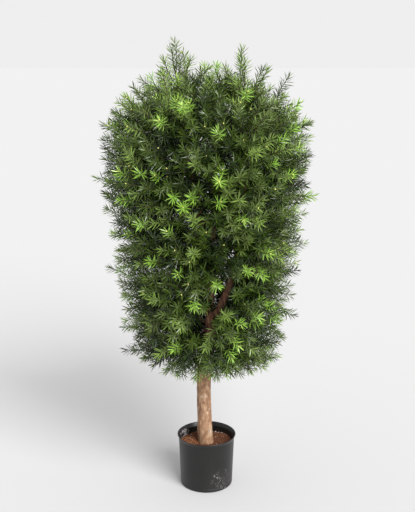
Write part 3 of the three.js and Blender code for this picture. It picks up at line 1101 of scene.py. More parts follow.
@dataclass
class Filling:
    """The crumbly brown filling: an uneven bed with loose crumbs over it."""

    pot: Pot
    top: float = 127
    lump: float = 3
    gap: float = 0.3
    rings: int = 70
    around: int = 200
    coarse_grain: float = 0.55
    fine_grain: float = 0.3
    heap: Place = (-50, 6, 5)  # a low heap on the left: its place in X and Y, and its height
    heap_width: float = 20
    crumbs: int = 5200
    crumb_sizes: tuple[float, float] = (0.7, 1.8)
    crumb_height: float = 0.75  # of its width
    crumb_margin: float = 1.5  # between the crumbs and the bed's edge
    crumb_lift: float = 0.35  # of its middle over the bed, in its own sizes
    colour_limits: tuple[float, float] = (0.3, 0.75)  # of luck, between the first three colours
    chalk_luck: float = 0.99
    chalk_luck_at_back: float = 0.84
    trunk_radius: float = 22.5
    seed: int = 5

    def radius(self, z: float | None = None) -> float:
        """Returns the bed's radius at a height, or at its top, just clear of the pot's wall."""
        outer = self.pot.wall_radius(self.top if z is None else z)
        return outer - self.pot.wall - self.pot.inner_step - self.gap

    def height_at(self, x: Array, y: Array) -> Array:
        """The bed's height at a place.

        It is the mean height, plus the broad waves of the solid, 0.6 sin(x / 17 + 0.8)
        cos(y / 21) - 0.4 sin((x + 1.7 y) / 29), times the lump, plus a round heap that
        falls off as exp(-(distance / width)^2).

        Args:
            x: its X.
            y: its Y.

        Returns:
            The height.
        """
        waves = 0.6 * np.sin(x / 17 + 0.8) * np.cos(y / 21) - 0.4 * np.sin((x + 1.7 * y) / 29)
        away = (x - self.heap[0]) ** 2 + (y - self.heap[1]) ** 2
        return self.top + self.lump * waves + self.heap[2] * np.exp(-away / self.heap_width**2)

    def bed(self) -> Shape:
        """The bed: rings of points, with two ripple fields for its grainy top.

        Returns:
            The surface, closed by a plug below.
        """
        part = np.linspace(1, 0.004, self.rings)[:, None, None]
        top = self.radius() * part * level_ring(turns(self.around))
        grains = self.coarse_grain * ripples(top, 4.5, 31, count=40)
        grains += self.fine_grain * ripples(top, 2.2, 32, count=40)
        top[..., 2] = self.height_at(top[..., 0], top[..., 1]) + grains
        foot = self.pot.floor + self.gap
        lowest = top[:1] * np.array([1, 1, 0]) * self.radius(foot) / self.radius()
        lowest[..., 2] = foot
        return closed_grid(np.concatenate([lowest, top]))

    def loose_crumbs(self) -> Shape:
        """The crumbs: octahedra with their corners moved, dealt out at random.

        A crumb's colour goes by luck. It is rust near the heap, a light brown that is partly the
        heap's own colour and partly painted light, and chalk more often at the back.

        Returns:
            The crumbs as one shape.
        """
        rng = np.random.default_rng(self.seed)
        count = self.crumbs
        inner, outer = self.trunk_radius, self.radius() - self.crumb_margin
        away = np.sqrt(rng.uniform(inner**2, outer**2, count))
        angle = rng.uniform(0, 2 * math.pi, count)
        x, y = away * np.cos(angle), away * np.sin(angle)
        size = rng.uniform(*self.crumb_sizes, count) * rng.uniform(0.6, 1, count)
        middle = np.column_stack([x, y, self.height_at(x, y) + self.crumb_lift * size])
        axes = np.eye(3)
        corners = np.concatenate([axes[:2], -axes[:2], axes[2:], -axes[2:]])
        lumps = corners * rng.uniform(0.6, 1.15, (count, 6, 1))
        lumps += rng.normal(0, 0.18, (count, 6, 3))
        spin = rng.uniform(0, 2 * math.pi, count)[:, None]
        turned_x = lumps[..., 0] * np.cos(spin) - lumps[..., 1] * np.sin(spin)
        turned_y = lumps[..., 0] * np.sin(spin) + lumps[..., 1] * np.cos(spin)
        lumps = np.stack([turned_x, turned_y, self.crumb_height * lumps[..., 2]], axis=-1)
        luck = rng.uniform(0, 1, count)
        kind = np.digitize(luck, self.colour_limits)
        near_heap = np.hypot(x - self.heap[0], y - self.heap[1]) < 1.5 * self.heap_width
        # Partly painted light: the heap's crumbs take the lightest brown.
        kind[near_heap & (luck > self.colour_limits[0])] = Crumb.RUST.number
        at_back = (away > outer - 5) & (y > 30) & (x > 0)
        chalky = (luck > self.chalk_luck) | (at_back & (luck > self.chalk_luck_at_back))
        kind[chalky] = Crumb.CHALK.number
        return octahedra(middle[:, None] + lumps * size[:, None, None], kind)

    def build(self, effects: Effects) -> None:
        """Makes the bed and its crumbs.

        Args:
            effects: the shared node groups.
        """
        finish = FillingBed().material(effects)
        add_piece("filling_bed", self.bed(), [finish], ["filling"])
        crumbs = self.loose_crumbs()
        add_piece("filling_crumbs", crumbs, Crumb.materials(), ["filling"], smooth=False)


# Trunk and boughs


class Drift(Enum):
    """How a bough's sideways drift grows while it climbs."""

    LATE = "late"
    EARLY = "early"

    def at(self, t: Array) -> Array:
        """Returns the drift at a part of the climb: t^2, or 1 - (1 - t)^3."""
        return t**2 if self is Drift.LATE else 1 - (1 - t) ** 3


@dataclass(frozen=True)
class Leader:
    """The top shoot that a bough ends in."""

    azimuth: float
    lift: float
    length: float


@dataclass(frozen=True)
class Limb:
    """A bough: it drifts sideways by its spread while it climbs by its rise."""

    name: str
    azimuth: float
    spread: float
    rise: float
    drift: Drift
    leader: Leader


@dataclass(frozen=True)
class Knot:
    """A knot in the trunk, and how far it stands out."""

    azimuth: float
    height: float
    out: float


@dataclass
class Trunk:
    """The bare trunk, from its flat foot in the filling to the fork."""

    foot: float = 115
    foot_radius: float = 23.4
    radius: float = 22
    fork_radius: float = 20
    flare_height: float = 45
    dome: float = 16
    bends: tuple[Place, ...] = (
        (0, 0, 115), (-5, 0, 165), (-6.5, 2, 240), (-7, 3, 330), (-2, 2, 410), (8, 0, 485),
    )
    knots: tuple[Knot, ...] = (
        Knot(-90, 255, 1.3), Knot(70, 205, 1.6), Knot(170, 300, 1.5), Knot(10, 345, 1.2),
    )
    furrow: float = 0.28
    pit: float = 0.22
    rings: int = 300
    dome_rings: int = 24
    around: int = 144

    def __post_init__(self) -> None:
        """Makes the axis through the bends."""
        self.curve = BendCurve(np.array(self.bends, dtype=float))
        self.fork = self.curve.point(1.0)[0]

    def axis_at(self, z: float) -> Array:
        """Returns the axis's point that the solid's rule takes for a height."""
        return self.curve.point((z - self.foot) / (self.fork[2] - self.foot))[0]

    def to_end(self, z: Array) -> Array:
        """Returns 1 below the round end, and down to 0 at its top."""
        return np.clip((self.fork[2] - z) / self.dome, 0, 1)

    def surface_radius(self, t: Array, angle: Array, z: Array) -> Array:
        """The trunk's radius.

        A straight taper, plus the flare (1 - height / flare_height)^2 at the foot, plus the
        solid's two broad waves round it, 0.5 sin(2a + z / 60) + 0.35 sin(3a - z / 37),
        times the round end sqrt(1 - 0.9 (1 - u)^2) over the last stretch.

        Args:
            t: parts of the axis.
            angle: angles round it.
            z: heights.

        Returns:
            The radius at each.
        """
        flare = np.maximum(0, 1 - (z - self.foot) / self.flare_height) ** 2
        taper = blend(self.radius, self.fork_radius, t)
        uneven = 0.5 * np.sin(2 * angle + z / 60) + 0.35 * np.sin(3 * angle - z / 37)
        dome = np.sqrt(1 - 0.9 * (1 - self.to_end(z)) ** 2)
        return (taper + flare * (self.foot_radius - self.radius) + uneven) * dome

    def relief(self, points: Array, angle: Array, z: Array) -> Array:
        """The wood's relief, in millimetres.

        Long shallow furrows (a field stretched 9 times upwards), small pits, and knots: a
        ring with a dimple, (q - 0.45) exp(-q) with q the squared distance from the knot's
        middle in units of 6 mm round and 7 mm up.

        Args:
            points: places on the smooth trunk.
            angle: their angles.
            z: their heights.

        Returns:
            How far each stands out.
        """
        furrows = self.furrow * ripples(points, 9, 11, (1, 1, 9), 30)
        pits = -self.pit * np.maximum(0, ripples(points, 5, 12, (1, 1, 3), 30) - 0.9)
        total = furrows + pits
        for knot in self.knots:
            turn = np.angle(np.exp(1j * (angle - math.radians(knot.azimuth))))
            q = (turn * self.radius / 6) ** 2 + ((z - knot.height) / 7) ** 2
            total = total + 2.2 * knot.out * (q - 0.45) * np.exp(-q)
        return total

    def shape(self) -> Shape:
        """The trunk: level rings round the axis, denser at the round end.

        Returns:
            The closed surface.
        """
        dome_part = 1 - self.dome / (self.fork[2] - self.foot)
        straight = np.linspace(0, dome_part, self.rings, endpoint=False)
        rounded = 1 - (1 - dome_part) * np.linspace(1, 0, self.dome_rings) ** 1.6
        t = np.concatenate([straight, rounded])
        axis = self.curve.point(t)
        angle = turns(self.around)[None]
        z = axis[:, 2:]
        radius = self.surface_radius(t[:, None], angle, z)
        around = level_ring(angle)
        points = axis[:, None] + radius[..., None] * around
        points += (self.to_end(z) * self.relief(points, angle, z))[..., None] * around
        return closed_grid(points)

    def build(self, effects: Effects) -> None:
        """Makes the trunk and its finish."""
        finish = PaleWood().material(effects)
        add_piece("bare_trunk", self.shape(), [finish], ["trunk"])


@dataclass
class Boughs:
    """The three limbs that climb from the fork through the crown."""

    trunk: Trunk
    base_radius: float = 11
    tip_radius: float = 5.5
    bark_relief: float = 0.35
    crack_depth: float = 0.5
    rings: int = 260
    around: int = 36
    limbs: tuple[Limb, ...] = (
        Limb("bough_left", 172, 88, 590, Drift.LATE, Leader(60, 86, 222)),
        Limb("bough_right", -6, 104, 560, Drift.EARLY, Leader(190, 84, 226)),
        Limb("bough_back", 82, 96, 575, Drift.EARLY, Leader(95, 80, 190)),
    )

    def __post_init__(self) -> None:
        """Makes each limb's axis, from the fork up."""
        t = np.linspace(0, 1, 7)[:, None]
        self.curves = [
            BendCurve(
                self.trunk.fork
                + direction(limb.azimuth, 0) * limb.spread * limb.drift.at(t)
                + np.array([0, 0, limb.rise]) * t
            )
            for limb in self.limbs
        ]

    def radius(self, t: Array) -> Array:
        """Returns a bough's radius at a part of its length."""
        return blend(self.base_radius, self.tip_radius, t)

    def shape(self, index: int) -> Shape:
        """One bough: rings square to its axis, with bark that is cracked along it.

        The radius tapers straight. The bark adds bark_relief times a field stretched 6
        times upwards, and takes crack_depth times what a second field has over 0.8.

        Args:
            index: the bough's place among the limbs.

        Returns:
            The bough's surface.
        """
        curve = self.curves[index]
        t = np.linspace(0, 1, self.rings)
        along = curve.tangent(t)
        side = unit(np.cross(along, np.array([0.0, 1.0, 0.0])))
        up = np.cross(along, side)
        angle = turns(self.around)[None, :, None]
        around = np.cos(angle) * side[:, None] + np.sin(angle) * up[:, None]
        points = curve.point(t)[:, None] + self.radius(t)[:, None, None] * around
        bark = self.bark_relief * ripples(points, 7, 21 + index, (1, 1, 6), 30)
        cracks = np.maximum(0, ripples(points, 5, 24 + index, (1, 1, 4), 30) - 0.8)
        return closed_grid(points + (bark - self.crack_depth * cracks)[..., None] * around)

    def build(self, effects: Effects) -> None:
        """Makes the boughs and their finish.

        Args:
            effects: the shared node groups.
        """
        finish = RedBark().material(effects)
        for index, limb in enumerate(self.limbs):
            add_piece(f"{limb.name}_bark", self.shape(index), [finish], [limb.name])


# The crown's layout


@dataclass(frozen=True)
class Crown:
    """The crown's outline, a body of revolution that twig tips reach, on average."""

    bottom: float = 335
    top: float = 1300
    widest: float = 298
    widest_at: float = 945
    lower_taper: float = 0.33
    bottom_sharpness: float = 30
    shoulder_power: float = 3.5

    def radius(self, z: Array | float) -> Array:
        """The outline's radius at a height.

        Below the widest place it is widest (1 - lower_taper d) (1 - d^bottom_sharpness),
        with d from 0 there to 1 at the bottom. Above it is widest (1 - u^shoulder_power),
        with u from 0 to 1 at the top.

        Args:
            z: the heights.

        Returns:
            A radius for each.
        """
        z = np.asarray(z, dtype=float)
        down = np.clip((self.widest_at - z) / (self.widest_at - self.bottom), 0, 1)
        up = np.clip((z - self.widest_at) / (self.top - self.widest_at), 0, 1)
        lower = self.widest * (1 - self.lower_taper * down) * (1 - down**self.bottom_sharpness)
        return np.where(z < self.widest_at, lower, self.widest * (1 - up**self.shoulder_power))

    def depth(self, points: Array) -> Array:
        """How far points lie under the outline.

        It is the level distance to the outline, divided by the root of 1 + slope^2 with
        the outline's slope at that height.

        Args:
            points: the points.

        Returns:
            A depth for each, below 0 outside.
        """
        z = points[:, 2]
        slope = (self.radius(z + 2) - self.radius(z - 2)) / 4
        inward = self.radius(z) - np.hypot(points[:, 0], points[:, 1])
        return inward / np.sqrt(1 + slope**2)


@dataclass(frozen=True)
class Tier:
    """A ring of masses at about one height, at a depth under the crown's outline."""

    height: float
    count: int
    spin: float
    depth: float
    rise: float
    lift: float


@dataclass
class Mass:
    """One mass of foliage: a stem from its limb to its middle, and the way its twigs look."""

    BEND = 0.45  # how far before its end the stem bends, of its reach

    name: str
    numbers: RuleNumbers
    way: Array
    start: Array
    middle: Array
    to_tip: float
    above: float = 0  # how much higher than the outline its tips may be
    pointed: float = 0  # how much lower its outer twigs end than its middle one

    def __post_init__(self) -> None:
        """Bends the stem so that it arrives along the mass's way."""
        reach = np.linalg.norm(self.middle - self.start)
        bend = self.middle - self.BEND * reach * self.way
        self.stem = Arcs(self.start[None], bend[None], self.middle[None])

    def stem_point(self, t: Array) -> Array:
        """Returns places on the stem at an array of parameters."""
        return self.stem.picked(np.zeros(len(t), dtype=int)).point(t[:, None])

    def samples(self) -> Array:
        """Returns the five places that tell which space is this mass's own."""
        tip = self.middle + self.way * self.to_tip
        return np.vstack([self.stem_point(np.array([0.25, 0.5, 0.75, 1.0])), tip])


@dataclass
class Layout:
    """Where the masses are, and which space belongs to each."""

    trunk: Trunk
    boughs: Boughs
    crown: Crown = Crown()
    outline: Crown = Crown(  # of the sprays
        bottom=374, top=1300, widest=290, widest_at=930, lower_taper=0.262, bottom_sharpness=36
    )
    lowest_tip: float = 398
    overshoot: float = 5  # how far a twig's end may pass the outline
    tiers: tuple[Tier, ...] = (
        Tier(432, 5, 18, 96, -30, -14),
        Tier(575, 6, 48, 96, 45, 6),
        Tier(745, 6, 18, 96, 85, 18),
        Tier(915, 6, 46, 96, 110, 28),
        Tier(1075, 5, 10, 96, 130, 44),
        Tier(1115, 1, 258, 185, 135, 74),
    )
    seed: int = 41
    azimuth_luck: float = 15
    stagger: float = 22  # by turns a tier's masses are this much lower and higher
    height_luck: float = 24
    least_radius: float = 0.93  # of the crown's
    radius_luck: float = 0.07
    start_step: float = 11  # in height, from a tier's stem to its next
    core_numbers: int = 24  # the numbers that a mass's core draws before its twigs do
    twigs: int = 15
    spread: float = 138  # of the twigs' tips around a mass's own tip
    bulge: float = 230  # radius of the face that the tips lie on
    turn_luck: float = 0.6
    reach_luck: float = 26
    to_tip: float = 96
    leader_to_tip: float = 104
    leader_above: float = 55
    leader_pointed: float = 0.9
    border: float = 1.0  # how much nearer a mass's own samples are than any other's
    stem_clear: float = 7
    twig_clear: float = 2.5  # of twigs, from a limb's bark
    tip_clear: float = 12  # of side shoots' tips

    def __post_init__(self) -> None:
        """Lays out the masses, and keeps the points that the space rule measures to."""
        self.masses = self.tier_masses() + self.leader_masses()
        self.samples = np.stack([mass.samples() for mass in self.masses])
        t = np.linspace(0, 1, 25)
        self.stems = np.stack([mass.stem_point(t) for mass in self.masses])
        t = np.linspace(0, 1, 61)
        limbs = [(curve.point(t), self.boughs.radius(t)) for curve in self.boughs.curves]
        limbs.append((self.trunk.curve.point(t), np.full(61, self.trunk.radius + 1)))
        self.limb_points, self.limb_radii = (np.concatenate(parts) for parts in zip(*limbs))

    def carrier_at(self, z: float, near: Array) -> Array:
        """The place that carries a stem.

        Args:
            z: the stem's starting height.
            near: the mass's middle.

        Returns:
            The axis of the trunk there or, above the fork, of the nearest bough.
        """
        fork = self.trunk.fork
        if z < fork[2]:
            return self.trunk.axis_at(z)
        places = [
            curve.point((z - fork[2]) / limb.rise)[0]
            for curve, limb in zip(self.boughs.curves, self.boughs.limbs)
            if z < fork[2] + limb.rise
        ]
        return min(places, key=lambda at: math.hypot(*(at - near)[:2]))

    def tier_masses(self) -> list[Mass]:
        """Lays out the tiers by the rule's numbers, from the bottom up.

        Returns:
            Their masses.
        """
        masses = []
        for row, tier in enumerate(self.tiers):
            for k in range(tier.count):
                numbers = RuleNumbers(self.seed + 97 * row + 7 * k)
                azimuth = tier.spin + 360 * k / tier.count
                azimuth += self.azimuth_luck * (numbers.draw() - 0.5)
                z = tier.height + (self.stagger if k % 2 else -self.stagger)
                z += self.height_luck * (numbers.draw() - 0.5)
                share = self.least_radius + self.radius_luck * numbers.draw()
                radius = float(self.crown.radius(z)) * share
                middle = direction(azimuth, 0) * (radius - tier.depth)
                middle[2] = z
                start_z = z - tier.rise + self.start_step * (k - (tier.count - 1) / 2)
                start = self.carrier_at(start_z, middle)
                way = direction(azimuth, tier.lift)
                name = f"foliage_{row + 1}_{k + 1}"
                masses.append(Mass(name, numbers, way, start, middle, self.to_tip))
        return masses

    def leader_masses(self) -> list[Mass]:
        """Lays out a leader on the tip of each bough.

        Returns:
            The leaders.
        """
        masses = []
        for k, limb in enumerate(self.boughs.limbs):
            way = direction(limb.leader.azimuth, limb.leader.lift)
            start = self.boughs.curves[k].point(1.0)[0]
            middle = start + way * (limb.leader.length - self.leader_to_tip)
            name = limb.name.replace("bough", "leader")
            numbers = RuleNumbers(self.seed + 700 + k)
            sizes = (self.leader_to_tip, self.leader_above, self.leader_pointed)
            masses.append(Mass(name, numbers, way, start, middle, *sizes))
        return masses

    def targets(self, mass: Mass) -> tuple[Array, Array]:
        """The tips of a mass's twigs.

        Twig k lies at the radius spread sqrt((k + 0.4) / twigs) and the angle k times the
        golden angle, around the mass's way, on a face that bulges towards its tip. Tips
        that would hang below the crown are lifted to its underside.

        Args:
            mass: the mass.

        Returns:
            The tips, and how far each is from the middle of the spread, from 0 to 1.
        """
        for _ in range(self.core_numbers):
            mass.numbers.draw()
        k = np.arange(self.twigs)
        draws = np.array([[mass.numbers.draw(), mass.numbers.draw()] for _ in k])
        radius = self.spread * np.sqrt((k + 0.4) / self.twigs)
        turn = k * GOLDEN_ANGLE + self.turn_luck * draws[:, 0]
        side = unit(np.cross(np.array([0.0, 0.0, 1.0]), mass.way))
        up = np.cross(mass.way, side)
        reach = mass.to_tip - radius**2 / (2 * self.bulge) - self.reach_luck * draws[:, 1]
        reach = reach - mass.pointed * (radius - radius[0])
        tips = (
            mass.middle
            + (np.cos(turn) * radius)[:, None] * side
            + (np.sin(turn) * radius)[:, None] * up
            + reach[:, None] * mass.way
        )
        tips[:, 2] = np.maximum(tips[:, 2], self.lowest_tip)
        return tips, radius / self.spread

    def to_masses(self, points: Array, places: Array) -> Array:
        """Returns how far each point is from the nearest of each mass's places."""
        return np.linalg.norm(points[:, None, None] - places[None], axis=-1).min(axis=-1)

    def off_limbs(self, points: Array, clear: float) -> Array:
        """Tells which points are clear of every limb's bark."""
        away = np.linalg.norm(points[:, None] - self.limb_points[None], axis=-1)
        return (away > self.limb_radii + clear).all(axis=1)

    def holds(self, index: int, points: Array) -> Array:
        """Tells which points are in a mass's own space.

        That is where its samples are nearer than any other mass's by the border, away
        from the others' stems and from the limbs, and between the crown's bottom and top.

        Args:
            index: the mass's place in the layout.
            points: the points.

        Returns:
            A flag for each point.
        """
        away = self.to_masses(points, self.samples)
        stems = np.delete(self.to_masses(points, self.stems), index, axis=1)
        return (
            (np.delete(away, index, axis=1).min(axis=1) > away[:, index] + self.border)
            & (stems.min(axis=1) > self.stem_clear)
            & self.off_limbs(points, self.twig_clear)
            & (points[:, 2] > self.crown.bottom)
            & (points[:, 2] < self.crown.top)
        )

    def owners(self, points: Array) -> Array:
        """Returns the mass in whose space each point is, or -1 for those in a limb's way."""
        nearest = self.to_masses(points, self.samples).argmin(axis=1)
        return np.where(self.off_limbs(points, self.tip_clear), nearest, -1)

    def inside(self, points: Array, above: float) -> Array:
        """Tells which points are inside the outline, raised by above, or just beyond it."""
        limit = self.outline.radius(points[:, 2] - above) + self.overshoot
        return np.hypot(points[:, 0], points[:, 1]) < limit


# Foliage


@dataclass
class Shoots:
    """Shoots that bear needles, one in each row."""

    arcs: Arcs
    bare: Array  # the length at its foot that has no needles
    depth: Array  # of its tip under the crown's outline
    ends: Array  # whether it is a twig's own end
    size: Array  # how many times larger, and sparser, its needles are

    def __len__(self) -> int:
        """Returns the number of shoots."""
        return len(self.arcs)


@dataclass(frozen=True)
class Needles:
    """Flat needles in a spiral round each shoot, denser and steeper towards its tip."""

    length: float = 26
    width: float = 2.45
    foot_width: float = 0.72  # of the width
    thickness: float = 0.8
    spacing: float = 1.65
    crowding: float = 1.12  # the power that moves needles towards the tip
    shortest_leafy: float = 12
    fewest: int = 8
    off_axis: float = 0.5  # where a needle starts
    low_angle: float = 61  # from the shoot
    tip_angle: float = 34
    steeper_from: float = 0.76  # of the leafy stretch
    shorter: Fade = Fade(0.22, 0.75, 1.0)  # towards the shoot's foot
    shorter_at_tip: float = 0.22
    bow: float = 2.4  # how far a needle's tip curves towards the shoot's
    keel_at: float = 0.42
    widest_at: float = 0.62
    # The standard deviations of a needle's turn, lean, twist, length, bow and width.
    turn_luck: float = 0.22
    lean_luck: float = 6
    twist_luck: float = 0.6
    length_luck: float = 0.07
    bow_luck: float = 1.5
    width_luck: float = 0.08
    # What a shoot's finishes are dealt by.
    zones: tuple[float, ...] = (0.3, 0.55, 0.82)  # where the next finish begins
    darker_share: float = 0.22  # of the needles, which are one green darker than their shoot

    def shape(self, shoots: Shoots, tones: Array, rng: Generator) -> Shape:
        """The needles of many shoots.

        Needle j of n on a shoot is at the part u = (j + 0.5) / n of its leafy stretch and
        at the angle j times the golden angle round it. It leans low_angle from the shoot,
        and less and less over the last stretch, down to tip_angle. A needle is a blade
        with a flat upper face and a keel: two corners at its foot, two where it is widest,
        one below for the keel, and its tip, each lifted by bow times the square of its
        part of the length.

        Args:
            shoots: the shoots.
            tones: four finishes for each shoot, from its foot to its tip.
            rng: the source of small differences.

        Returns:
            The needles, with their shoots' finishes.
        """
        lengths = shoots.arcs.length()
        leafy = np.maximum(lengths - shoots.bare, self.shortest_leafy)
        counts = np.maximum((leafy / self.spacing / shoots.size).astype(int), self.fewest)
        owner = np.repeat(np.arange(len(shoots)), counts)
        total = len(owner)
        order = np.arange(total) - np.repeat(np.cumsum(counts) - counts, counts)
        part = (order + 0.5) / counts[owner]
        t = (1 - (leafy / lengths)[owner] * (1 - part) ** self.crowding)[:, None]
        arcs = shoots.arcs.picked(owner)
        along = arcs.tangent(t)
        first = arcs.plane()
        second = np.cross(along, first)
        phase = rng.uniform(0, 2 * math.pi, len(shoots))[owner]
        turn = (order * GOLDEN_ANGLE + phase + rng.normal(0, self.turn_luck, total))[:, None]
        out = np.cos(turn) * first + np.sin(turn) * second
        near_tip = smooth_step(part, self.steeper_from, 1.0)
        lean = blend(self.low_angle, self.tip_angle, near_tip)
        lean = np.radians(lean + rng.normal(0, self.lean_luck, total))[:, None]
        axis = np.cos(lean) * along + np.sin(lean) * out
        side = unit(np.cross(along, axis))
        upper = np.cross(axis, side)
        twist = rng.normal(0, self.twist_luck, total)[:, None]
        side, upper = (
            np.cos(twist) * side + np.sin(twist) * upper,
            np.cos(twist) * upper - np.sin(twist) * side,
        )
        length = self.length * (1 - self.shorter.at(1 - part))
        length = length * (1 - self.shorter_at_tip * near_tip)
        length = length * rng.normal(1, self.length_luck, total)
        length = (length * shoots.size[owner])[:, None]
        bow = (self.bow + rng.normal(0, self.bow_luck, total))[:, None]
        widths = rng.normal(1, self.width_luck, total) * shoots.size[owner]
        half = 0.5 * self.width * widths[:, None]
        foot = arcs.point(t) + self.off_axis * out
        keel, wide, tip = (
            foot + u * length * axis + u**2 * bow * upper
            for u in (self.keel_at, self.widest_at, 1)
        )
        corners = [
            foot + self.foot_width * half * side,
            foot - self.foot_width * half * side,
            wide + half * side,
            wide - half * side,
            keel - self.thickness * upper,
            tip,
        ]
        start = 6 * np.arange(total)[:, None, None]
        quads = np.array([[0, 1, 3, 2]])[None] + start
        fans = [[2, 3, 5], [1, 0, 4], [0, 2, 4], [3, 1, 4], [2, 5, 4], [5, 3, 4]]
        fans = np.array(fans)[None] + start
        tone = tones[owner, np.digitize(part, self.zones)]
        tone = np.maximum(tone - (rng.uniform(0, 1, total) < self.darker_share), 0)
        faces = [quads.reshape(-1, 4), fans.reshape(-1, 3)]
        points = np.stack(corners, axis=1).reshape(-1, 3)
        return Shape(points, faces, [tone, np.repeat(tone, 6)])


@dataclass(frozen=True)
class ToneRule:
    """How the greens are dealt out, by luck between 0 and 1, and by where a shoot's tip is, which
    paints shade and light on them.
    """

    limits: tuple[float, ...] = (-0.06, 0.30, 0.66, 0.88)  # of luck, between the mature greens
    # Painted shade: the deeper a tip lies under the outline, the darker its green.
    painted_shade_from: float = 30  # of depth
    painted_shade_over: float = 110
    deepest_painted_shade: float = 0.55
    # Painted light: lighter greens near the outline.
    painted_light_at_outline: Fade = Fade(0.2, 14, -4)  # over depth
    # Painted light: lighter greens towards the crown's top.
    painted_light_at_top: Fade = Fade(0.16, 1040, 1220)  # over height, like those below
    # Painted shade: darker greens towards the crown's bottom.
    painted_shade_at_bottom: Fade = Fade(0.08, 560, 430)
    patches: float = 0.08  # of broad uneven fields of lighter and darker green
    young_share: float = 0.14
    young_ends: float = 1.5  # times the share, on twigs' ends
    young_sides: float = 0.75  # times the share, on side shoots
    fewer_young: Fade = Fade(0.5, 560, 430)
    young_depth: float = 42
    fresh_share: float = 0.4
    fresh_depth: float = 60
    yellow_share: float = 0.3  # of the young tips

    def deal(self, shoots: Shoots, rng: Generator) -> tuple[Array, Array]:
        """Deals out the greens, shoot by shoot.

        Painted shade: the deeper a shoot's tip lies in the crown, and the nearer its bottom, the
        darker its green. Painted light: the lighter near the outline and towards the crown's
        top. Some shoots near the outline are young: their outer half is lime. Others have a
        fresh tip.

        Args:
            shoots: the shoots.
            rng: the source of the deal.

        Returns:
            Four finishes for each shoot, from its foot to its tip, and which are young.
        """
        count, depth, z = len(shoots), shoots.depth, shoots.arcs.end[:, 2]
        # Painted shade deep in the crown and at its bottom, painted light at its outline and top.
        darker = np.clip((depth - self.painted_shade_from) / self.painted_shade_over, 0, self.deepest_painted_shade)
        luck = rng.uniform(0, 1, count) - darker + self.painted_light_at_outline.at(depth) + self.painted_light_at_top.at(z)
        luck -= self.painted_shade_at_bottom.at(z)
        luck += self.patches * ripples(shoots.arcs.end, 150, 62)
        mature = np.digitize(luck, self.limits)
        tones = np.repeat(mature[:, None], 4, axis=1)
        tones[:, 0] = np.maximum(mature - 1, 0)
        share = self.young_share * np.where(shoots.ends, self.young_ends, self.young_sides)
        share = share * (1 - self.fewer_young.at(z))
        young = (rng.uniform(0, 1, count) < share) & (depth < self.young_depth)
        fresh = rng.uniform(0, 1, count) < self.fresh_share
        fresh &= ~young & (depth < self.fresh_depth)
        lightest = Green.FRESH.number
        tones[fresh, 3] = np.minimum(tones[fresh, 3] + 1, lightest)
        tones[young, 1] = np.minimum(tones[young, 1] + 1, lightest)
        tones[young, 2] = Green.LIME.number
        yellow = rng.uniform(0, 1, young.sum()) < self.yellow_share
        tones[young, 3] = np.where(yellow, Green.YELLOW.number, Green.LIME.number)
        return tones, young


@dataclass(frozen=True)
class Layer:
    """A layer under the crown's outline, and how far apart the tips in it are."""

    shallow: float
    deep: float
    spacing: float


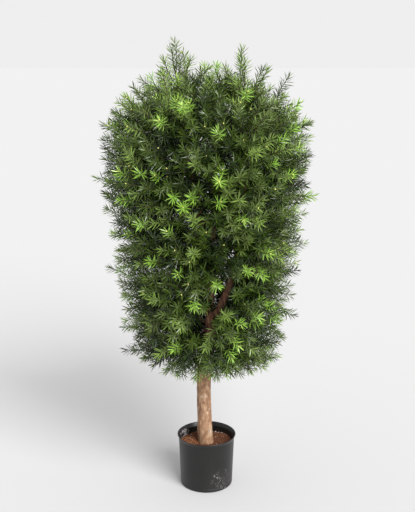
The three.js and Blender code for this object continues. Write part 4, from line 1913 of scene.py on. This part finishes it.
@dataclass
class Foliage:
    """The crown's masses: stems and twigs from the limbs out, shoots and their needles."""

    layout: Layout
    needles: Needles = Needles()
    tone_rule: ToneRule = ToneRule()
    tries: int = 9
    shorten: float = 0.9
    twig_luck: float = 4
    along_stem: float = 0.55  # the part of the stem that its twigs leave from
    bend_onward: float = 0.42  # where a twig bends, in parts of its reach along the mass's way
    bend_sideways: float = 0.66  # and of its reach across it
    twig_radii: tuple[float, float] = (1.5, 2.1)  # at the foot of a short twig and a long one
    long_twig: float = 160
    tested: tuple[float, ...] = (0.58, 0.79, 1.0)  # places on a twig that its mass must hold
    layers: tuple[Layer, ...] = (
        Layer(0, 22, 32), Layer(28, 60, 33), Layer(72, 115, 50), Layer(128, 190, 70),
    )
    inset: float = 14  # of the evenly spread tips under the outline, without its waves
    broad_wave: float = 7
    close_wave: float = 11
    lowest_wave: float = -18
    inner_top: float = 1238  # where the evenly spread tips end, under the leaders' own
    candidates: int = 150000  # random places that the layers pick their tips from
    stations: tuple[float, float, int] = (0.2, 0.86, 9)  # the first, the last and their number
    shoot_length: float = 86  # that a tip would like its shoot to have
    longest: float = 170
    shortest: float = 34
    lift_heights: tuple[float, ...] = (335, 480, 700, 950, 1100, 1250)
    lifts: tuple[float, ...] = (-24, -6, 8, 20, 38, 66)  # of shoots at those heights, in degrees
    shoot_luck: float = 0.16
    leafy_end: float = 95  # the needled stretch of a twig or shoot
    least_bare: float = 0.12  # the part of its length that has no needles
    inner_growth: Fade = Fade(0.6, 45, 80)  # of the needles deep in the crown
    sight_lines: tuple[Place, ...] = ((8, 0, 500), (38, -2, 548), (62, -5, 602))
    sight_from: Place = (3, -2309, 1228)  # from here those places on the boughs show
    sight_width: float = 22
    strays: tuple[Place, ...] = (  # tips that stand out of the outline
        (-86, 8, 1292), (-66, 20, 1262), (95, -10, 1272), (-128, 5, 1203), (-152, 20, 1166),
        (152, -5, 1216), (224, 0, 1198), (252, -10, 1128), (284, 0, 1074), (-280, 0, 1068),
        (-304, -10, 922), (300, 5, 871), (-278, -20, 838), (277, 0, 735), (-276, 0, 664),
        (252, -5, 525), (-238, 0, 488), (-234, -10, 420), (-115, -120, 394), (-68, -150, 394),
        (-30, -165, 396),
    )
    bud_share: float = 0.18
    bud_young: float = 3.0  # times the share, on young shoots
    bud_mature: float = 0.6  # times the share, on the others
    bud_size: float = 2.1
    bud_depth: float = 60
    bud_finish: PlainFinish = PlainFinish("bud yellow", (0.82, 0.74, 0.24), 0.5, 0.4)
    leaf_slots: tuple[str, ...] = ("needles_dark", "needles_mid", "needles_light")
    seed: int = 7

    def __post_init__(self) -> None:
        """Makes the outline of the evenly spread tips, which stays under the leaders'."""
        self.outline = replace(self.layout.outline, top=self.inner_top)

    def twigs(self, index: int) -> Arcs:
        """The twigs of a mass.

        A twig leaves the stem the lower, the further its tip is from the middle of the
        spread. It sets off sideways and curves towards the mass's way. It is shortened
        until its outer half is in the mass's space and its tip inside the crown, and
        dropped if it gets too short.

        Args:
            index: the mass's place in the layout.

        Returns:
            The twigs.
        """
        layout, mass = self.layout, self.layout.masses[index]
        rng = np.random.default_rng([self.seed, index])
        tips, out = layout.targets(mass)
        tips = tips + rng.normal(0, self.twig_luck, tips.shape)
        start = mass.stem_point(1 - self.along_stem * out)
        part = np.ones((len(tips), 1))
        for _ in range(self.tries):
            tip = start + (tips - start) * part
            fits = layout.inside(tip, mass.above)
            for along in self.tested:
                fits &= layout.holds(index, start + (tip - start) * along)
            part = np.where(fits[:, None], part, part * self.shorten)
        tip = start + (tips - start) * part
        chord = tip - start
        forward = dot(chord, mass.way) * mass.way
        bend = start + self.bend_onward * forward + self.bend_sideways * (chord - forward)
        arcs = Arcs(start, bend, tip)
        keep = fits & (np.linalg.norm(chord, axis=1) > self.shortest) & self.out_of_sight(arcs)
        return arcs.picked(np.flatnonzero(keep))

    def spread_tips(self, taken: Array, rng: Generator) -> Array:
        """Tips for side shoots, spread evenly through layers under the outline.

        Random places in a layer are taken one by one, as long as each is at least the
        layer's spacing from all that were taken before. The outline is made uneven by
        two fields of waves, so that some sprays stand out.

        Args:
            taken: the tips that are there already.
            rng: the source of the places.

        Returns:
            The new tips.
        """
        crown = self.outline
        low = np.array([-crown.widest, -crown.widest, crown.bottom + 20])
        high = np.array([crown.widest, crown.widest, crown.top])
        places = rng.uniform(low, high, (self.candidates, 3))
        waves = self.broad_wave * ripples(places, 150, 61)
        waves += self.close_wave * ripples(places, 85, 64)
        depth = crown.depth(places) - self.inset - np.maximum(waves, self.lowest_wave)
        tips = taken
        for layer in self.layers:
            for place in places[(depth > layer.shallow) & (depth < layer.deep)]:
                if ((tips - place) ** 2).sum(axis=1).min() > layer.spacing**2:
                    tips = np.vstack([tips, place])
        return tips[len(taken):]

    def side_shoots(self, parents: Arcs, tips: Array, rng: Generator) -> Arcs:
        """The side shoots that carry a mass's share of the tips.

        A shoot leaves the stem or a twig at the station that suits its tip best: not far
        from the length a shoot likes to have, and in front of the station. It arrives
        outwards, and the more upwards the higher it is.

        Args:
            parents: the mass's stem and twigs.
            tips: the tips.
            rng: the source of small differences.

        Returns:
            The side shoots.
        """
        stations = np.linspace(*self.stations)
        rows = np.repeat(np.arange(len(parents)), len(stations))
        t = np.tile(stations, len(parents))[:, None]
        hosts = parents.picked(rows)
        feet, along = hosts.point(t), hosts.tangent(t)
        reach = tips[:, None] - feet[None]
        far = np.linalg.norm(reach, axis=-1)
        ahead = (reach * along[None]).sum(axis=-1) / far
        too_far, unfit = 9.0, 5  # what a wrong length costs, and what no shoot may cost
        cost = np.abs(far - self.shoot_length) / self.shoot_length + 0.9 * (1 - ahead)
        cost += too_far * (far > self.longest) + too_far * (far < self.shortest)
        best = cost.argmin(axis=1)
        keep = cost[np.arange(len(tips)), best] < unfit
        start, end = feet[best[keep]], tips[keep]
        chord = end - start
        length = np.linalg.norm(chord, axis=1, keepdims=True)
        lift = np.radians(np.interp(end[:, 2], self.lift_heights, self.lifts))[:, None]
        level = unit(end * np.array([1, 1, 0]))
        outward = np.cos(lift) * level + np.sin(lift) * np.array([0.0, 0.0, 1.0])
        noise = rng.normal(0, self.shoot_luck, end.shape)
        onward = unit(0.5 * chord / length + outward + noise)
        arcs = Arcs(start, end - 0.5 * length * onward, end)
        return arcs.picked(np.flatnonzero(self.out_of_sight(arcs)))

    def out_of_sight(self, arcs: Arcs) -> Array:
        """Tells which shoots keep clear of the lines along which the boughs show.

        Args:
            arcs: the shoots' curves.

        Returns:
            A flag for each: whether its points at t = 0, 1/4 to 1 are all farther than
            sight_width from every line.
        """
        origin = np.array(self.sight_from)
        clear = np.ones(len(arcs), dtype=bool)
        for target in self.sight_lines:
            line = np.array(target) - origin
            for t in np.linspace(0, 1, 5):
                place = arcs.point(np.full((len(arcs), 1), t)) - origin
                part = np.clip(place @ line / (line @ line), 0, 1)[:, None]
                clear &= np.linalg.norm(place - part * line, axis=1) > self.sight_width
        return clear

    def buds(self, shoots: Shoots, young: Array, rng: Generator) -> Shape:
        """Small pointed buds on the tips of some shoots, as eight-faced lumps.

        Args:
            shoots: the shoots.
            young: which of them are young, and have more buds.
            rng: the source of the choice.

        Returns:
            The buds.
        """
        share = self.bud_share * np.where(young, self.bud_young, self.bud_mature)
        share = share * (shoots.depth < self.bud_depth)
        rows = np.flatnonzero(rng.uniform(0, 1, len(shoots)) < share)
        arcs = shoots.arcs.picked(rows)
        along, first = arcs.tangent(np.ones((len(rows), 1))), arcs.plane()
        second = np.cross(along, first)
        size = self.bud_size
        middle = arcs.end + 1.2 * along
        rim = [middle + size * way for way in (first, second, -first, -second)]
        ends = [middle + 1.7 * size * along, middle - 1.5 * size * along]
        return octahedra(np.stack(rim + ends, axis=1), np.zeros(len(rows), dtype=int))

    def build_mass(self, index: int, twigs: Arcs, tips: Array) -> Shape:
        """Makes one mass: a piece of its needles, and one of its stem, twigs and shoots.

        Args:
            index: the mass's place in the layout.
            twigs: its twigs.
            tips: the tips that its side shoots carry.

        Returns:
            The buds on its shoots.
        """
        mass = self.layout.masses[index]
        rng = np.random.default_rng([self.seed, 1000 + index])
        sides = self.side_shoots(Arcs.gathered([mass.stem, twigs]), tips, rng)
        arcs = Arcs.gathered([twigs, sides])
        lengths = arcs.length()
        depth = self.outline.depth(arcs.end)
        shoots = Shoots(
            arcs,
            bare=np.maximum(lengths - self.leafy_end, self.least_bare * lengths),
            depth=depth,
            ends=np.arange(len(arcs)) < len(twigs),
            size=1 + self.inner_growth.at(depth),
        )
        tones, young = self.tone_rule.deal(shoots, rng)
        needles = self.needles.shape(shoots, tones, rng)
        thick = blend(*self.twig_radii, np.clip(twigs.length() / self.long_twig, 0, 1))
        wood = [
            tubes(mass.stem, 5.0, thin=2.4, rings=14, sides=8).finished(Bark.STEM.number),
            tubes(twigs, thick, thin=0.8, rings=9, sides=5).finished(Bark.TWIG.number),
            tubes(sides, 1.2, thin=0.6, rings=6, sides=4).finished(Bark.SHOOT.number),
        ]
        label = mass.name.replace("foliage_", "")
        add_piece(
            f"needles_{label}", needles, Green.materials(), [mass.name], smooth=False
        )
        add_piece(f"twigs_{label}", joined(wood), Bark.materials(), [mass.name])
        return self.buds(shoots, young, rng)

    def build(self) -> None:
        """Makes every mass of the crown, and the buds of all."""
        names = [mass.name for mass in self.layout.masses]
        twigs = [self.twigs(index) for index in range(len(names))]
        strays = np.array(self.strays)
        taken = np.concatenate([arcs.end for arcs in twigs] + [strays])
        tips = self.spread_tips(taken, np.random.default_rng(self.seed))
        tips = np.concatenate([strays, tips])
        owner = self.layout.owners(tips)
        buds = [self.build_mass(i, arcs, tips[owner == i]) for i, arcs in enumerate(twigs)]
        add_piece("buds", joined(buds), [self.bud_finish.material()], names)
        log.info("crown: %d masses, %d tips", len(names), len(tips))


# Studio


@dataclass
class Studio:
    """The camera at the photograph's viewing angle, a pale floor and soft light."""

    camera_at: Place = (0.003, -2.309, 1.228)
    looks_down: float = 12.9
    lens: float = 58.5
    floor_size: float = 400.0  # half its side, in metres
    floor_colour: Colour = (0.51, 0.51, 0.51)
    sky: Colour = (0.86, 0.86, 0.86)
    sky_strength: float = 1.0
    sun_azimuth: float = -58  # of where the light comes from
    sun_lift: float = 34
    sun_width: float = 40
    sun_power: float = 4.95

    def add_camera(self) -> None:
        """Sets the camera, whose lens is for a frame of 36 mm on its long side."""
        data = bpy.data.cameras.new("camera")
        data.lens = self.lens
        data.sensor_width = 36
        camera = new_object("camera", data)
        camera.location = self.camera_at
        camera.rotation_euler = (math.radians(90 - self.looks_down), 0, 0)
        bpy.context.scene.camera = camera

    def add_floor(self) -> None:
        """Lays a plain pale floor under the pot."""
        half = self.floor_size
        corners = [(-half, -half, 0), (half, -half, 0), (half, half, 0), (-half, half, 0)]
        mesh = bpy.data.meshes.new("floor")
        mesh.from_pydata(corners, [], [(0, 1, 2, 3)])
        sketch = FinishSketch("pale floor")
        finish = sketch.dress(Base_Color=self.floor_colour, Roughness=1, Specular_IOR_Level=0)
        mesh.materials.append(finish)
        floor = new_object("floor", mesh)

    def add_sky(self) -> None:
        """Lights the room from all sides by a pale sky."""
        world = bpy.data.worlds.new("pale room")
        world.use_nodes = True
        background = world.node_tree.nodes["Background"]
        background.inputs["Color"].default_value = (*self.sky, 1)
        background.inputs["Strength"].default_value = self.sky_strength
        bpy.context.scene.world = world

    def add_sun(self) -> None:
        """Lights the room from the front, right and above by one broad soft light."""
        data = bpy.data.lights.new("broad light", "SUN")
        data.energy = self.sun_power
        data.angle = math.radians(self.sun_width)
        light = new_object("broad light", data)
        turn = math.radians(self.sun_azimuth) + math.pi / 2
        light.rotation_euler = (math.radians(90 - self.sun_lift), 0, turn)

    def build(self) -> None:
        """Sets the camera, the floor, the sky and the light."""
        self.add_camera()
        self.add_floor()
        self.add_sky()
        self.add_sun()
        bpy.context.scene.view_settings.view_transform = "Standard"


def main() -> None:
    """Builds the plant piece by piece, from the pot up."""
    logging.basicConfig(level=logging.INFO, format="%(name)s: %(message)s")
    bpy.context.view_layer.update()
    effects = Effects()
    low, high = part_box("pot")
    Studio().build()
    pot = Pot(height=high[2] / MM, rim_radius=(high[0] - low[0]) / 2 / MM)
    pot.build(effects)
    Filling(pot).build(effects)
    trunk = Trunk()
    trunk.build(effects)
    boughs = Boughs(trunk)
    boughs.build(effects)
    Foliage(Layout(trunk, boughs)).build()


if __name__ == "__main__":
    main()
